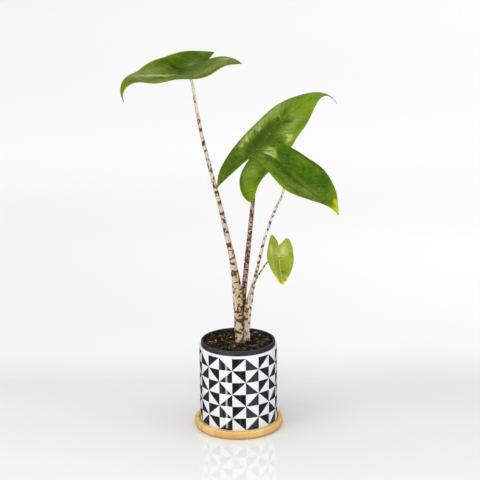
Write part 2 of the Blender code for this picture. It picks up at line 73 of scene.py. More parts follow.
LINER_TOP_Z = 152.3 * MM
LINER_LIP_RADIUS = 62.6 * MM
LINER_LIP_THICKNESS = 1.1 * MM
LINER_MOUTH_RADIUS = 59.2 * MM
LINER_WALL = 1.2 * MM
LINER_BASE_RADIUS = 45.0 * MM
LINER_BASE_Z = 33.0 * MM
LINER_DRAIN_RADIUS = 4.0 * MM
LINER_DRAINS = 6
LINER_DRAIN_CIRCLE = 30.0 * MM

SOIL_EDGE_Z = 146.2 * MM
SOIL_CROWN = 1.2 * MM
SOIL_BOTTOM_Z = LINER_BASE_Z + LINER_WALL + GAP

STEM_CENTRE = (7.4 * MM, 0.7 * MM)
BLADE_THICKNESS = 0.62 * MM

STATIONS = (0.88, 0.66, 0.42, 0.18, -0.06)
WAVE_TURNS = (5.0, 9.5)
WAVE_FULL_AT = 0.45

# A blade: the same measures as the solid it replaces, then how its surface is
# finished. blunt: how far each lobe's tip is rounded (left, right). veins: side
# veins on the midrib and on each lobe. quilt: how far the green stands up
# between two side veins, in metres. The zones say where sheen is painted on
# the green, where shade is painted as a deeper green, where light is painted
# as a brighter green, and where the green yellows, in that order: (s, w) of
# the middle in blade lengths, half-length and half-width, turn in degrees,
# strength.
BLADES = {
    "tall": dict(
        length=0.1367, sinus=0.315,
        junction=(-0.0782, -0.0200, 0.6136),
        forward=(-0.782, -0.422, -0.458), upper=(-0.510, 0.012, 0.860),
        left=(0.040, 0.222, 0.385, 0.451, 0.469, 0.429, -0.556, 0.398, 0.080),
        right=(0.074, 0.242, 0.415, 0.472, 0.480, 0.440, -0.508, 0.281, 0.124),
        bend=(-1.827, 2.369, 5.185, 0.749), fold=(-0.081, 0.070),
        droop=(0.869, -1.606), twist=0.016, sweep=-0.092, curl_from=0.524,
        wave=((0.030, 0.042, -0.030, 0.000), (0.024, 0.040, -0.004, -0.005)),
        blunt=(0.3, 0.3), veins=(6, 3), quilt=0.70 * MM,
        painted_sheen=((0.22, 0.05, 0.05, 0.20, 12, 0.90), (0.36, -0.16, 0.20, 0.05, -5, 0.80),
               (0.60, 0.03, 0.08, 0.17, 0, 0.85), (0.45, 0.05, 0.06, 0.18, 8, 0.60),
               (0.40, -0.28, 0.22, 0.09, 10, 0.55), (-0.43, 0.22, 0.12, 0.16, 0, 0.85),
               (-0.12, 0.36, 0.22, 0.05, 0, 0.60), (-0.15, -0.08, 0.04, 0.12, 30, 0.45),
               (-0.10, 0.10, 0.16, 0.18, 0, 0.35), (0.375, -0.193, 0.15, 0.024, -11, 1.15),
               (0.21, -0.110, 0.11, 0.035, -42, 1.15), (0.11, 0.10, 0.16, 0.025, -78, 0.90),
               (0.10, 0.22, 0.10, 0.12, 0, 0.45),
               (0.60, -0.16, 0.14, 0.10, 0, 0.70)),
        painted_shade=((-0.08, 0.12, 0.18, 0.16, 20, 0.50), (0.02, -0.10, 0.05, 0.12, 0, 0.90),
                (-0.10, -0.28, 0.20, 0.14, 0, 0.70),
                (0.03, -0.28, 0.03, 0.16, 0, 0.70), (0.10, 0.15, 0.03, 0.20, 15, 0.60)),
        painted_light=((0.35, 0.30, 0.22, 0.12, -12, 0.90), (0.88, 0.0, 0.15, 0.18, 0, 1.0),
                  (0.62, -0.24, 0.22, 0.06, 25, 0.70),
                  (0.40, 0.12, 0.05, 0.16, 0, 0.50)),
        ripe=(),
    ),
    "middle": dict(
        length=0.1803, sinus=0.108,
        junction=(0.0345, 0.0750, 0.4628),
        forward=(0.677, 0.274, 0.683), upper=(-0.713, 0.016, 0.701),
        left=(0.026, 0.215, 0.405, 0.454, 0.455, 0.398, -0.452, 0.273, 0.109),
        right=(0.050, 0.237, 0.409, 0.446, 0.453, 0.389, -0.521, 0.320, 0.047),
        bend=(-0.230, 1.803, 5.369, 0.899), fold=(0.302, -0.111),
        droop=(-0.022, 1.360), twist=-0.071, sweep=-0.170, curl_from=0.696,
        wave=((-0.023, -0.005, 0.007, 0.005), (0.022, 0.007, -0.017, -0.013)),
        blunt=(0.1, 1.0), veins=(6, 4), quilt=1.10 * MM,
        painted_sheen=((0.45, 0.29, 0.17, 0.12, -18, 0.85), (0.22, 0.35, 0.18, 0.10, 0, 1.00),
               (0.04, 0.35, 0.11, 0.11, 0, 0.80), (-0.08, 0.20, 0.025, 0.14, 18, 0.75),
               (0.03, -0.24, 0.06, 0.18, -10, 1.15), (0.045, -0.30, 0.06, 0.11, 0, 0.80),
               (0.29, -0.27, 0.09, 0.13, -10, 0.95),
               (0.44, -0.25, 0.08, 0.08, 0, 1.00), (0.23, -0.37, 0.06, 0.035, 0, 1.20),
               (-0.24, -0.20, 0.12, 0.12, -20, 0.80), (0.50, -0.03, 0.05, 0.09, 0, 0.60),
               (0.36, 0.17, 0.03, 0.06, -20, 0.80), (0.19, 0.27, 0.013, 0.06, -15, 1.50),
               (0.05, 0.31, 0.012, 0.06, -10, 1.20), (0.39, 0.12, 0.010, 0.07, -18, 1.50),
               (-0.03, 0.31, 0.012, 0.06, 0, 1.20), (0.10, -0.25, 0.012, 0.09, 20, 1.20),
               (0.46, -0.05, 0.010, 0.08, 5, 1.30), (0.26, -0.33, 0.012, 0.05, 0, 1.30)),
        painted_shade=((0.14, 0.12, 0.22, 0.08, 0, 0.85), (-0.26, 0.27, 0.15, 0.13, 0, 0.50),
                (0.10, -0.10, 0.10, 0.10, 0, 0.50), (0.375, -0.10, 0.013, 0.12, 12, 1.40),
                (0.36, 0.09, 0.012, 0.07, -18, 1.35), (0.15, 0.27, 0.012, 0.07, -12, 1.20),
                (-0.06, -0.14, 0.03, 0.15, 5, 0.80), (-0.05, 0.10, 0.02, 0.09, 10, 0.70),
                (0.12, -0.28, 0.012, 0.10, 22, 1.20), (-0.42, -0.18, 0.05, 0.10, -40, 0.40)),
        painted_light=((0.66, 0.00, 0.20, 0.18, 0, 0.95), (0.58, -0.18, 0.22, 0.10, -25, 0.90),
                  (0.33, -0.41, 0.28, 0.045, -5, 0.95), (-0.42, -0.33, 0.09, 0.06, 0, 0.90),
                  (-0.40, -0.22, 0.06, 0.09, 0, 0.50), (0.80, 0.02, 0.12, 0.10, 0, 0.70)),
        ripe=((0.99, 0.0, 0.04, 0.05, 0, 0.7),),
    ),
    "right": dict(
        length=0.1290, sinus=0.105,
        junction=(0.0758, -0.0550, 0.4630),
        forward=(0.611, -0.505, -0.610), upper=(0.743, 0.099, 0.662),
        left=(0.076, 0.282, 0.438, 0.479, 0.452, 0.420, -0.312, 0.333, 0.108),
        right=(0.076, 0.274, 0.433, 0.462, 0.454, 0.406, -0.381, 0.367, 0.084),
        bend=(-0.450, 0.529, 1.687, 1.372), fold=(0.681, -0.114),
        droop=(-0.032, 1.372), twist=0.130, sweep=-0.358, curl_from=0.739,
        wave=((-0.005, 0.005, -0.001, 0.008), (0.016, 0.016, 0.005, -0.003)),
        blunt=(0.8, 0.8), veins=(6, 3), quilt=0.60 * MM,
        painted_sheen=((0.52, -0.17, 0.20, 0.12, 0, 0.90), (0.28, -0.30, 0.20, 0.06, 0, 0.60),
               (-0.05, -0.34, 0.16, 0.045, 0, 0.60), (-0.25, -0.27, 0.08, 0.09, -60, 0.90),
               (-0.14, -0.09, 0.035, 0.07, 30, 0.95), (0.42, 0.03, 0.22, 0.03, 0, 0.65),
               (0.60, 0.10, 0.14, 0.05, 0, 0.35), (0.50, 0.004, 0.26, 0.008, 0, 1.05),
               (0.56, -0.11, 0.16, 0.010, 6, 0.90)),
        painted_shade=((0.05, -0.14, 0.20, 0.12, 0, 0.60), (0.30, -0.12, 0.06, 0.07, 0, 0.55),
                (0.50, -0.028, 0.24, 0.013, 0, 1.00),
                (0.10, 0.10, 0.30, 0.07, 0, 0.40), (0.45, 0.30, 0.20, 0.10, 0, 0.25)),
        painted_light=((0.66, 0.26, 0.20, 0.065, -38, 0.80), (0.38, -0.42, 0.38, 0.05, 5, 0.95),
                  (0.00, 0.32, 0.14, 0.10, 0, 0.45), (-0.15, -0.41, 0.20, 0.04, 0, 0.70)),
        ripe=((1.00, 0.0, 0.13, 0.15, 0, 0.95), (0.90, 0.0, 0.17, 0.18, 0, 0.36), (0.80, 0.13, 0.08, 0.045, -38, 0.75)),
    ),
    "small": dict(
        length=0.0481, sinus=0.360,
        junction=(0.0686, -0.0220, 0.3044),
        forward=(0.054, -0.334, -0.941), upper=(0.554, -0.774, 0.306),
        left=(0.181, 0.372, 0.497, 0.560, 0.554, 0.491, -0.665, 0.298, 0.138),
        right=(0.208, 0.350, 0.483, 0.572, 0.562, 0.459, -0.695, 0.335, 0.061),
        bend=(-0.149, 0.342, 0.204, -0.232), fold=(0.257, 0.243),
        droop=(0.242, 0.259), twist=-0.158, sweep=0.300, curl_from=0.880,
        wave=((0.0, 0.0, 0.0, 0.0), (0.0, 0.0, 0.0, 0.0)),
        blunt=(1.0, 1.0), veins=(5, 3), quilt=0.22 * MM,
        painted_sheen=((-0.24, 0.20, 0.24, 0.16, 0, 0.5), (-0.02, -0.02, 0.07, 0.06, 0, 0.9),
               (-0.20, -0.35, 0.18, 0.06, 0, 0.9), (0.25, -0.30, 0.14, 0.06, 0, 0.4),
               (-0.14, 0.05, 0.15, 0.30, 0, 0.45)),
        painted_shade=((0.32, -0.10, 0.18, 0.16, 0, 0.5), (0.00, -0.53, 0.42, 0.06, 0, 0.5),
                (0.45, 0.18, 0.26, 0.22, 0, 0.65), (0.62, 0.02, 0.16, 0.26, 0, 0.50),
                (0.15, 0.54, 0.50, 0.05, 0, 0.45), (0.56, 0.08, 0.06, 0.10, 0, 0.5)),
        painted_light=((0.40, 0.24, 0.22, 0.16, 0, 0.5), (-0.45, 0.30, 0.14, 0.10, 0, 0.4)),
        ripe=((0.96, 0.0, 0.09, 0.15, 0, 1.0), (0.81, 0.20, 0.07, 0.06, 0, 0.8),
              (0.74, -0.27, 0.24, 0.05, 32, 1.0)),
    ),
}

# Petiole centre lines: x, y, z, half-width across, half-width in depth, in
# millimetres, from the foot upwards. The last stretch runs to the blade.
PETIOLES = {
    "tall": (
        (3.0, 0.0, 143.6, 7.3, 7.6), (2.2, -0.4, 161.0, 7.6, 7.8),
        (1.8, -0.9, 180.0, 7.9, 7.8), (1.7, -1.5, 200.0, 8.3, 7.6),
        (1.0, -2.4, 222.0, 8.9, 7.3), (-0.6, -3.2, 241.0, 8.2, 6.8),
        (-2.6, -3.9, 259.0, 6.9, 6.2), (-5.2, -4.6, 276.0, 6.4, 5.9),
        (-8.6, -5.4, 300.0, 5.5, 5.3), (-15.2, -6.6, 330.0, 4.6, 4.6),
        (-24.6, -8.4, 375.0, 4.1, 4.1), (-35.4, -10.6, 420.0, 3.6, 3.6),
        (-44.9, -12.4, 460.0, 3.2, 3.2), (-53.3, -14.0, 495.5, 2.95, 2.95),
        (-60.0, -15.8, 531.0, 2.75, 2.75), (-65.2, -17.4, 563.0, 2.5, 2.5),
        (-69.9, -18.8, 594.0, 2.3, 2.3),
    ),
    "middle": (
        (9.2, 6.6, 143.6, 4.3, 4.2), (9.3, 7.0, 186.0, 4.3, 4.2),
        (10.3, 9.6, 225.0, 4.3, 4.3), (12.4, 13.2, 250.0, 4.45, 4.4),
        (14.6, 17.2, 270.0, 4.4, 4.4), (18.2, 24.5, 301.0, 4.2, 4.2),
        (23.4, 37.0, 345.0, 3.8, 3.8), (27.6, 50.0, 384.0, 3.4, 3.4),
        (31.6, 64.0, 424.0, 3.0, 3.0), (35.8, 73.0, 449.0, 2.6, 2.6),
    ),
    "right": (
        (13.0, 0.3, 143.6, 5.9, 6.4), (14.3, -0.9, 161.0, 6.0, 6.4),
        (14.7, -2.4, 180.0, 6.0, 6.3), (15.7, -4.4, 198.0, 6.2, 6.0),
        (17.6, -6.8, 215.0, 6.1, 5.6), (20.4, -9.2, 229.0, 4.7, 4.7),
        (24.0, -11.8, 245.0, 3.5, 3.6), (28.2, -14.8, 261.0, 3.1, 3.1),
        (37.4, -21.2, 303.0, 2.6, 2.6), (46.6, -28.6, 342.0, 2.4, 2.4),
        (62.4, -39.4, 388.0, 2.15, 2.15), (74.6, -48.6, 418.0, 2.0, 2.0),
        (76.8, -53.8, 442.0, 2.0, 2.0),
    ),
    "small": (
        (17.4, -3.2, 143.6, 2.4, 3.1), (18.3, -5.2, 170.0, 2.4, 3.1),
        (19.6, -8.0, 195.0, 2.4, 2.9), (22.6, -12.2, 220.0, 2.2, 2.3),
        (25.4, -15.8, 240.0, 1.8, 1.8), (28.8, -19.6, 258.5, 1.55, 1.55),
        (32.6, -20.6, 268.0, 1.45, 1.45), (39.6, -20.0, 279.0, 1.4, 1.4),
        (49.8, -18.2, 293.2, 1.35, 1.35), (58.8, -17.5, 299.6, 1.3, 1.3),
        (65.0, -18.6, 302.6, 1.25, 1.25),
    ),
}

CAMERA_PLACE = (-0.0059, -2.400, 0.991)
CAMERA_PITCH = 15.476
CAMERA_ROLL = -0.516
CAMERA_YAW = -0.256
CAMERA_LENS = 112.5


# ------------------------------------------------------------------- numbers
def spline(points, steps):
    """A smooth curve through points of any dimension (centripetal tangents),
    with steps intervals between neighbours."""
    points = [np.asarray(p, float) for p in points]
    out = []
    for i in range(len(points) - 1):
        p1, p2 = points[i], points[i + 1]
        p0 = points[i - 1] if i else 2 * p1 - p2
        p3 = points[i + 2] if i + 2 < len(points) else 2 * p2 - p1
        d1, d2, d3 = (max(np.linalg.norm(b - a), 1e-9) ** 0.5
                      for a, b in ((p0, p1), (p1, p2), (p2, p3)))
        m1 = ((p1 - p0) / d1 - (p2 - p0) / (d1 + d2) + (p2 - p1) / d2) * d2
        m2 = ((p2 - p1) / d2 - (p3 - p1) / (d2 + d3) + (p3 - p2) / d3) * d2
        for k in range(steps):
            t = k / steps
            out.append((2 * t**3 - 3 * t**2 + 1) * p1
                       + (t**3 - 2 * t**2 + t) * m1
                       + (-2 * t**3 + 3 * t**2) * p2
                       + (t**3 - t**2) * m2)
    out.append(points[-1])
    return np.array(out)


def run_length(curve):
    return np.r_[0, np.cumsum(np.linalg.norm(np.diff(curve, axis=0), axis=1))]


def at_run(curve, run, where):
    return np.stack([np.interp(where, run, curve[:, k])
                     for k in range(curve.shape[1])], -1)


def eased(x, a, b):
    t = np.clip((np.asarray(x, float) - a) / (b - a), 0, 1)
    return t * t * (3 - 2 * t)


def bell(x, width):
    return np.exp(-(np.asarray(x, float) / width) ** 2)


def lattice(ix, iy, iz, seed):
    h = (ix * 73856093) ^ (iy * 19349663) ^ (iz * 83492791) ^ (seed * 40503)
    h = (h ^ (h >> 13)) & 0xFFFFFFFF
    h = (h * 1274126177) & 0xFFFFFFFF
    h = (h ^ (h >> 16)) & 0xFFFFFFFF
    return (h & 0xFFFF) / 65535.0


def noise(p, seed=0):
    """Smooth noise from -1 to 1 at points (..., 3), one cell per unit."""
    p = np.asarray(p, float)
    base = np.floor(p).astype(np.int64)
    f = p - base
    f = f * f * f * (f * (f * 6 - 15) + 10)
    total = 0
    for dx in (0, 1):
        for dy in (0, 1):
            for dz in (0, 1):
                w = ((f[..., 0] if dx else 1 - f[..., 0])
                     * (f[..., 1] if dy else 1 - f[..., 1])
                     * (f[..., 2] if dz else 1 - f[..., 2]))
                total = total + w * lattice(base[..., 0] + dx,
                                            base[..., 1] + dy,
                                            base[..., 2] + dz, seed)
    return total * 2 - 1


def rough(p, octaves, seed=0, gain=0.5):
    total, size = 0, 1.0
    for k in range(octaves):
        total = total + size * noise(np.asarray(p) * 2**k + 11.3 * k, seed + k)
        size *= gain
    return total


# -------------------------------------------------------------------- meshes
def mesh_object(name, verts, faces, mat, smooth_deg=None, fields=None):
    """An object from arrays. fields holds named values per vertex."""
    mesh = bpy.data.meshes.new(name)
    mesh.from_pydata([tuple(v) for v in np.asarray(verts).tolist()], [],
                     [tuple(f) for f in faces])
    for key, values in (fields or {}).items():
        layer = mesh.attributes.new(key, "FLOAT", "POINT")
        layer.data.foreach_set("value", np.asarray(values, np.float32))
    mesh.validate()
    obj = bpy.data.objects.new(name, mesh)
    bpy.context.scene.collection.objects.link(obj)
    mesh.shade_smooth()
    if smooth_deg is not None:
        mesh.set_sharp_from_angle(angle=math.radians(smooth_deg))
    mesh.materials.append(mat)
    return obj


def outward(obj):
    bm = bmesh.new()
    bm.from_mesh(obj.data)
    bmesh.ops.recalc_face_normals(bm, faces=bm.faces)
    bm.to_mesh(obj.data)
    bm.free()
    return obj


def place(obj, slot_name, *nodes):
    """Puts a piece on the part: it rides on the one body and stands for the named
    solids. slot_name is not used."""
    if nodes:
        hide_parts(*nodes)
    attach(obj, "root")
    return obj


def arc(cx, cz, radius, start_deg, end_deg, steps):
    return [(cx + radius * math.cos(math.radians(a)),
             cz + radius * math.sin(math.radians(a)))
            for a in np.linspace(start_deg, end_deg, steps)]


def rounded(points, radii, steps=5):
    """A section line with its inner corners rounded. radii gives one radius
    per point, 0 for a corner that stays sharp."""
    out = []
    n = len(points)
    for i, (p, r) in enumerate(zip(points, radii)):
        p = np.array(p, float)
        if r <= 0 or i in (0, n - 1):
            out.append(tuple(p))
            continue
        a = np.array(points[i - 1], float) - p
        b = np.array(points[i + 1], float) - p
        la, lb = np.linalg.norm(a), np.linalg.norm(b)
        a, b = a / la, b / lb
        half = math.acos(max(-1.0, min(1.0, float(a @ b)))) / 2
        cutoff = min(r / math.tan(half), 0.49 * la, 0.49 * lb)
        for k in range(steps + 1):
            t = k / steps
            q = (p + a * cutoff * (1 - t) ** 2 + b * cutoff * t ** 2)
            out.append(tuple(q))
    return out


def turned(name, section, mat, segments=192, smooth_deg=35.0, shake=None):
    """A section (radius, z) turned about the Z axis. Where it meets the axis
    it closes with a point; otherwise it is a closed ring section."""
    section = [(float(r), float(z)) for r, z in section]
    closed = not (section[0][0] < 1e-7 and section[-1][0] < 1e-7)
    verts, rings = [], []
    angles = 2 * math.pi * np.arange(segments) / segments
    for r, z in section:
        start = len(verts)
        if r < 1e-7:
            verts.append((0.0, 0.0, z))
            rings.append([start] * segments)
        else:
            for a in angles:
                verts.append((r * math.cos(a), r * math.sin(a), z))
            rings.append(list(range(start, start + segments)))
    pairs = list(zip(rings[:-1], rings[1:]))
    if closed:
        pairs.append((rings[-1], rings[0]))
    faces = []
    for low, high in pairs:
        for i in range(segments):
            j = (i + 1) % segments
            quad = []
            for v in (low[i], low[j], high[j], high[i]):
                if v not in quad:
                    quad.append(v)
            if len(quad) > 2:
                faces.append(quad)
    verts = np.array(verts)
    if shake is not None:
        verts = shake(verts)
    return mesh_object(name, verts, faces, mat, smooth_deg)


# ----------------------------------------------------------------- materials
class Look:
    """A material under construction: a Principled shader and small calls that
    wire its nodes. Sockets and plain numbers can both be given."""

    def __init__(self, name, roughness=0.5, **inputs):
        self.mat = bpy.data.materials.new(name)
        self.mat.use_nodes = True
        self.tree = self.mat.node_tree
        self.shader = self.tree.nodes["Principled BSDF"]
        self.shader.inputs["Roughness"].default_value = roughness
        for key, value in inputs.items():
            self.shader.inputs[key.replace("_", " ")].default_value = value

    def node(self, kind, **props):
        made = self.tree.nodes.new(kind)
        for key, value in props.items():
            setattr(made, key, value)
        return made

    def put(self, socket, value):
        if isinstance(value, bpy.types.NodeSocket):
            self.tree.links.new(value, socket)
        elif isinstance(value, (tuple, list)) and len(value) == 3 \
                and socket.type == "RGBA":
            socket.default_value = (*value, 1.0)
        else:
            socket.default_value = value

    def math(self, op, a, b=0.0, c=None, clamp=False):
        made = self.node("ShaderNodeMath", operation=op, use_clamp=clamp)
        self.put(made.inputs[0], a)
        self.put(made.inputs[1], b)
        if c is not None:
            self.put(made.inputs[2], c)
        return made.outputs[0]

    def add(self, a, b):
        return self.math("ADD", a, b)

    def sub(self, a, b):
        return self.math("SUBTRACT", a, b)

    def mul(self, a, b):
        return self.math("MULTIPLY", a, b)

    def step(self, x, a, b):
        """0 below a, 1 above b, smooth between; a may lie above b."""
        made = self.node("ShaderNodeMapRange", interpolation_type="SMOOTHSTEP")
        low, high, to = (a, b, (0.0, 1.0)) if a < b else (b, a, (1.0, 0.0))
        self.put(made.inputs["Value"], x)
        made.inputs["From Min"].default_value = low
        made.inputs["From Max"].default_value = high
        made.inputs["To Min"].default_value = to[0]
        made.inputs["To Max"].default_value = to[1]
        return made.outputs["Result"]

    def remap(self, x, a, b, c, d):
        made = self.node("ShaderNodeMapRange", clamp=True)
        self.put(made.inputs["Value"], x)
        for key, value in (("From Min", a), ("From Max", b),
                           ("To Min", c), ("To Max", d)):
            made.inputs[key].default_value = value
        return made.outputs["Result"]

    def mix(self, fac, a, b, blend="MIX"):
        made = self.node("ShaderNodeMix", data_type="RGBA", blend_type=blend)
        self.put(made.inputs[0], fac)
        self.put(made.inputs[6], a)
        self.put(made.inputs[7], b)
        return made.outputs[2]

    def blend(self, fac, a, b):
        made = self.node("ShaderNodeMix", data_type="FLOAT")
        self.put(made.inputs[0], fac)
        self.put(made.inputs[2], a)
        self.put(made.inputs[3], b)
        return made.outputs[0]

    def field(self, name):
        return self.node("ShaderNodeAttribute", attribute_name=name).outputs["Fac"]

    def place(self):
        return self.node("ShaderNodeTexCoord").outputs["Object"]

    def scaled(self, vector, x, y, z, turn=(0.0, 0.0, 0.0)):
        made = self.node("ShaderNodeMapping")
        self.put(made.inputs["Vector"], vector)
        made.inputs["Scale"].default_value = (x, y, z)
        made.inputs["Rotation"].default_value = turn
        return made.outputs["Vector"]

    def noise(self, vector, scale, detail=2.0, rough=0.5, warp=0.0):
        made = self.node("ShaderNodeTexNoise")
        self.put(made.inputs["Vector"], vector)
        made.inputs["Scale"].default_value = scale
        made.inputs["Detail"].default_value = detail
        made.inputs["Roughness"].default_value = rough
        made.inputs["Distortion"].default_value = warp
        return made.outputs["Fac"]

    def cells(self, vector, scale, feature="F1", out="Distance", spread=1.0):
        made = self.node("ShaderNodeTexVoronoi", feature=feature)
        self.put(made.inputs["Vector"], vector)
        made.inputs["Scale"].default_value = scale
        made.inputs["Randomness"].default_value = spread
        return made.outputs[out]

    def xyz(self, vector):
        made = self.node("ShaderNodeSeparateXYZ")
        self.put(made.inputs[0], vector)
        return made.outputs

    def vector(self, x, y, z):
        made = self.node("ShaderNodeCombineXYZ")
        for socket, value in zip(made.inputs, (x, y, z)):
            self.put(socket, value)
        return made.outputs[0]

    def colour(self, value):
        self.put(self.shader.inputs["Base Color"], value)

    def roughness(self, value):
        self.put(self.shader.inputs["Roughness"], value)

    def bump(self, height, distance, strength=1.0, below=None):
        made = self.node("ShaderNodeBump")
        self.put(made.inputs["Height"], height)
        made.inputs["Distance"].default_value = distance
        made.inputs["Strength"].default_value = strength
        if below is not None:
            self.put(made.inputs["Normal"], below)
        self.put(self.shader.inputs["Normal"], made.outputs["Normal"])
        return made.outputs["Normal"]


def glaze_look():
    """White glaze with charcoal triangles that meet in pinwheels."""
    look = Look("glazed_ceramic", 0.12, Specular_IOR_Level=0.5)
    here = look.place()
    x, y, z = look.xyz(here)
    angle = look.math("ARCTAN2", x, look.mul(y, -1.0))
    cell = 2 * math.pi / PATTERN_COLUMNS
    wobble = look.sub(look.noise(here, 260.0, 2.0), 0.5)
    kf = look.mul(look.sub(angle, math.radians(PATTERN_TURN)), 1.0 / cell)
    kf = look.add(kf, look.mul(wobble, 0.010))
    kf = look.add(kf, 2.0 * PATTERN_COLUMNS)
    vf = look.mul(look.sub(PATTERN_TOP_Z, z), 1.0 / PATTERN_ROW)
    vf = look.add(vf, look.mul(wobble, 0.010))
    k, r = look.math("FLOOR", kf), look.math("FLOOR", vf)
    fu, fv = look.sub(kf, k), look.sub(vf, r)
    k_odd = look.math("FLOORED_MODULO", k, 2.0)
    kr_odd = look.math("FLOORED_MODULO", look.add(k, r), 2.0)
    rise = look.sub(look.add(fu, fv), 1.0)
    fall = look.sub(fu, fv)
    sign = look.sub(look.mul(k_odd, 2.0), 1.0)
    dark = look.blend(kr_odd, look.mul(rise, sign),
                      look.mul(look.mul(fall, sign), -1.0))
    dark = look.step(dark, -0.008, 0.008)
    # Only on the printed band of the outer wall.
    out = look.math("SQRT", look.add(look.mul(x, x), look.mul(y, y)))
    dark = look.mul(dark, look.step(out, POT_RADIUS - 1.4 * MM,
                                    POT_RADIUS - 1.1 * MM))
    low = PATTERN_TOP_Z - PATTERN_ROWS * PATTERN_ROW
    dark = look.mul(dark, look.step(z, low - 0.1 * MM, low + 0.1 * MM))
    dark = look.mul(dark, look.step(z, PATTERN_TOP_Z + 0.1 * MM,
                                    PATTERN_TOP_Z - 0.1 * MM))
    white = look.mix(look.noise(here, 22.0, 3.0), (0.735, 0.740, 0.755),
                     (0.775, 0.780, 0.790))
    black = look.mix(look.noise(here, 60.0, 3.0), (0.005, 0.005, 0.006),
                     (0.012, 0.012, 0.013))
    look.colour(look.mix(dark, white, black))
    look.roughness(look.remap(look.noise(here, 35.0, 3.0),
                              0.3, 0.7, 0.06, 0.11))
    ripple = look.add(look.mul(look.noise(here, 34.0, 2.0), 0.7),
                      look.mul(look.noise(here, 120.0, 2.0), 0.15))
    ripple = look.add(ripple, look.mul(dark, 0.05))
    look.bump(ripple, 0.0006, 0.35)
    return look.mat


def plastic_look():
    look = Look("matte_plastic", 0.45, Specular_IOR_Level=0.45)
    here = look.place()
    x, y, z = look.xyz(here)
    dust = look.step(look.noise(here, 90.0, 4.0, 0.6), 0.50, 0.72)
    # Painted light: the top of the rim is painted a paler, bluish grey.
    top = look.step(z, LINER_TOP_Z - 0.7 * MM, LINER_TOP_Z - 0.1 * MM)
    base = look.mix(look.noise(here, 30.0, 3.0), (0.013, 0.012, 0.017),
                    (0.026, 0.024, 0.031))
    base = look.mix(look.mul(top, 0.45), base, (0.085, 0.082, 0.100))
    look.colour(look.mix(look.mul(dust, 0.18), base, (0.14, 0.11, 0.09)))
    look.roughness(look.remap(look.noise(here, 160.0, 3.0),
                              0.3, 0.7, 0.34, 0.58))
    scuff = look.noise(look.scaled(here, 900.0, 900.0, 90.0), 1.0, 2.0)
    look.bump(scuff, 0.0002, 0.25)
    return look.mat


def bamboo_look():
    """Strips of bamboo glued side by side and turned: each strip has its own
    tone, fine fibres run along it, and faint dark seams lie between strips."""
    look = Look("bamboo_wood", 0.42, Specular_IOR_Level=0.35)
    here = look.place()
    x, y, z = look.xyz(here)
    bend = look.mul(look.sub(look.noise(here, 9.0, 2.0), 0.5), 0.0018)
    across = look.mul(look.add(y, bend), 1.0 / 0.0062)
    strip = look.math("FLOOR", across)
    tone = look.noise(look.vector(strip, look.math("FLOOR", look.mul(x, 6.0)),
                                  0.0), 3.7, 0.0)
    fibre = look.noise(look.scaled(here, 30.0, 1500.0, 700.0), 1.0, 3.0, 0.65)
    streak = look.noise(look.scaled(here, 14.0, 420.0, 320.0), 1.0, 2.0)
    seam = look.math("ABSOLUTE", look.sub(look.sub(across, strip), 0.5))
    seam = look.step(seam, 0.46, 0.50)
    base = look.mix(look.remap(tone, 0.3, 0.7, 0.0, 1.0),
                    (0.64, 0.37, 0.090), (0.78, 0.51, 0.175))
    base = look.mix(look.mul(look.step(fibre, 0.48, 0.75), 0.45), base,
                    (0.50, 0.25, 0.045))
    base = look.mix(look.mul(look.step(streak, 0.55, 0.75), 0.30), base,
                    (0.82, 0.54, 0.20))
    base = look.mix(look.mul(seam, 0.10), base, (0.34, 0.16, 0.04))
    # Painted shade darkens the side towards the foot, and painted light makes the lip paler.
    base = look.mix(look.mul(look.step(z, 6.5 * MM, 0.8 * MM), 0.50), base,
                    (0.40, 0.18, 0.035))
    top = look.step(z, SAUCER_HEIGHT - 2.0 * MM, SAUCER_HEIGHT - 0.2 * MM)
    base = look.mix(look.mul(top, 0.15), base, (0.84, 0.60, 0.26))
    look.colour(base)
    look.roughness(look.remap(fibre, 0.3, 0.7, 0.36, 0.52))
    look.bump(look.sub(look.mul(fibre, 0.6), look.mul(seam, 0.2)),
              0.0002, 0.4)
    return look.mat


def soil_look():
    look = Look("potting_mix", 0.9, Specular_IOR_Level=0.25)
    here = look.place()
    grain = look.noise(here, 420.0, 5.0, 0.65)
    clump = look.noise(here, 120.0, 3.0)
    base = look.mix(look.step(grain, 0.35, 0.7), (0.002, 0.0018, 0.0014),
                    (0.016, 0.011, 0.006))
    base = look.mix(look.mul(look.step(clump, 0.56, 0.68), 0.6), base,
                    (0.060, 0.034, 0.012))
    damp = look.noise(here, 60.0, 3.0)
    base = look.mix(look.mul(look.step(damp, 0.54, 0.64), 0.55), base,
                    (0.052, 0.050, 0.014))
    fleck = look.cells(here, 700.0)
    base = look.mix(look.mul(look.step(fleck, 0.16, 0.08), 0.7), base,
                    (0.20, 0.13, 0.07))
    look.colour(base)
    look.roughness(look.remap(grain, 0.3, 0.7, 0.78, 0.98))
    look.bump(look.add(grain, look.mul(clump, 0.5)), 0.0009, 0.8)
    return look.mat


def bark_look(name, dark, light, roughness=0.85, mossy=None):
    look = Look(name, roughness, Specular_IOR_Level=0.25)
    here = look.place()
    tone = look.field("tone")
    grain = look.noise(look.scaled(here, 900.0, 250.0, 900.0), 1.0, 3.0, 0.6)
    base = look.mix(look.mul(tone, tone), dark, light)
    if mossy is not None:
        base = look.mix(look.step(tone, 0.88, 0.91), base, mossy)
    base = look.mix(look.mul(look.step(grain, 0.45, 0.7), 0.6), base,
                    tuple(0.35 * c for c in dark))
    look.colour(base)
    look.roughness(look.remap(grain, 0.3, 0.7, roughness - 0.1, 0.97))
    look.bump(grain, 0.0004, 0.7)
    return look.mat


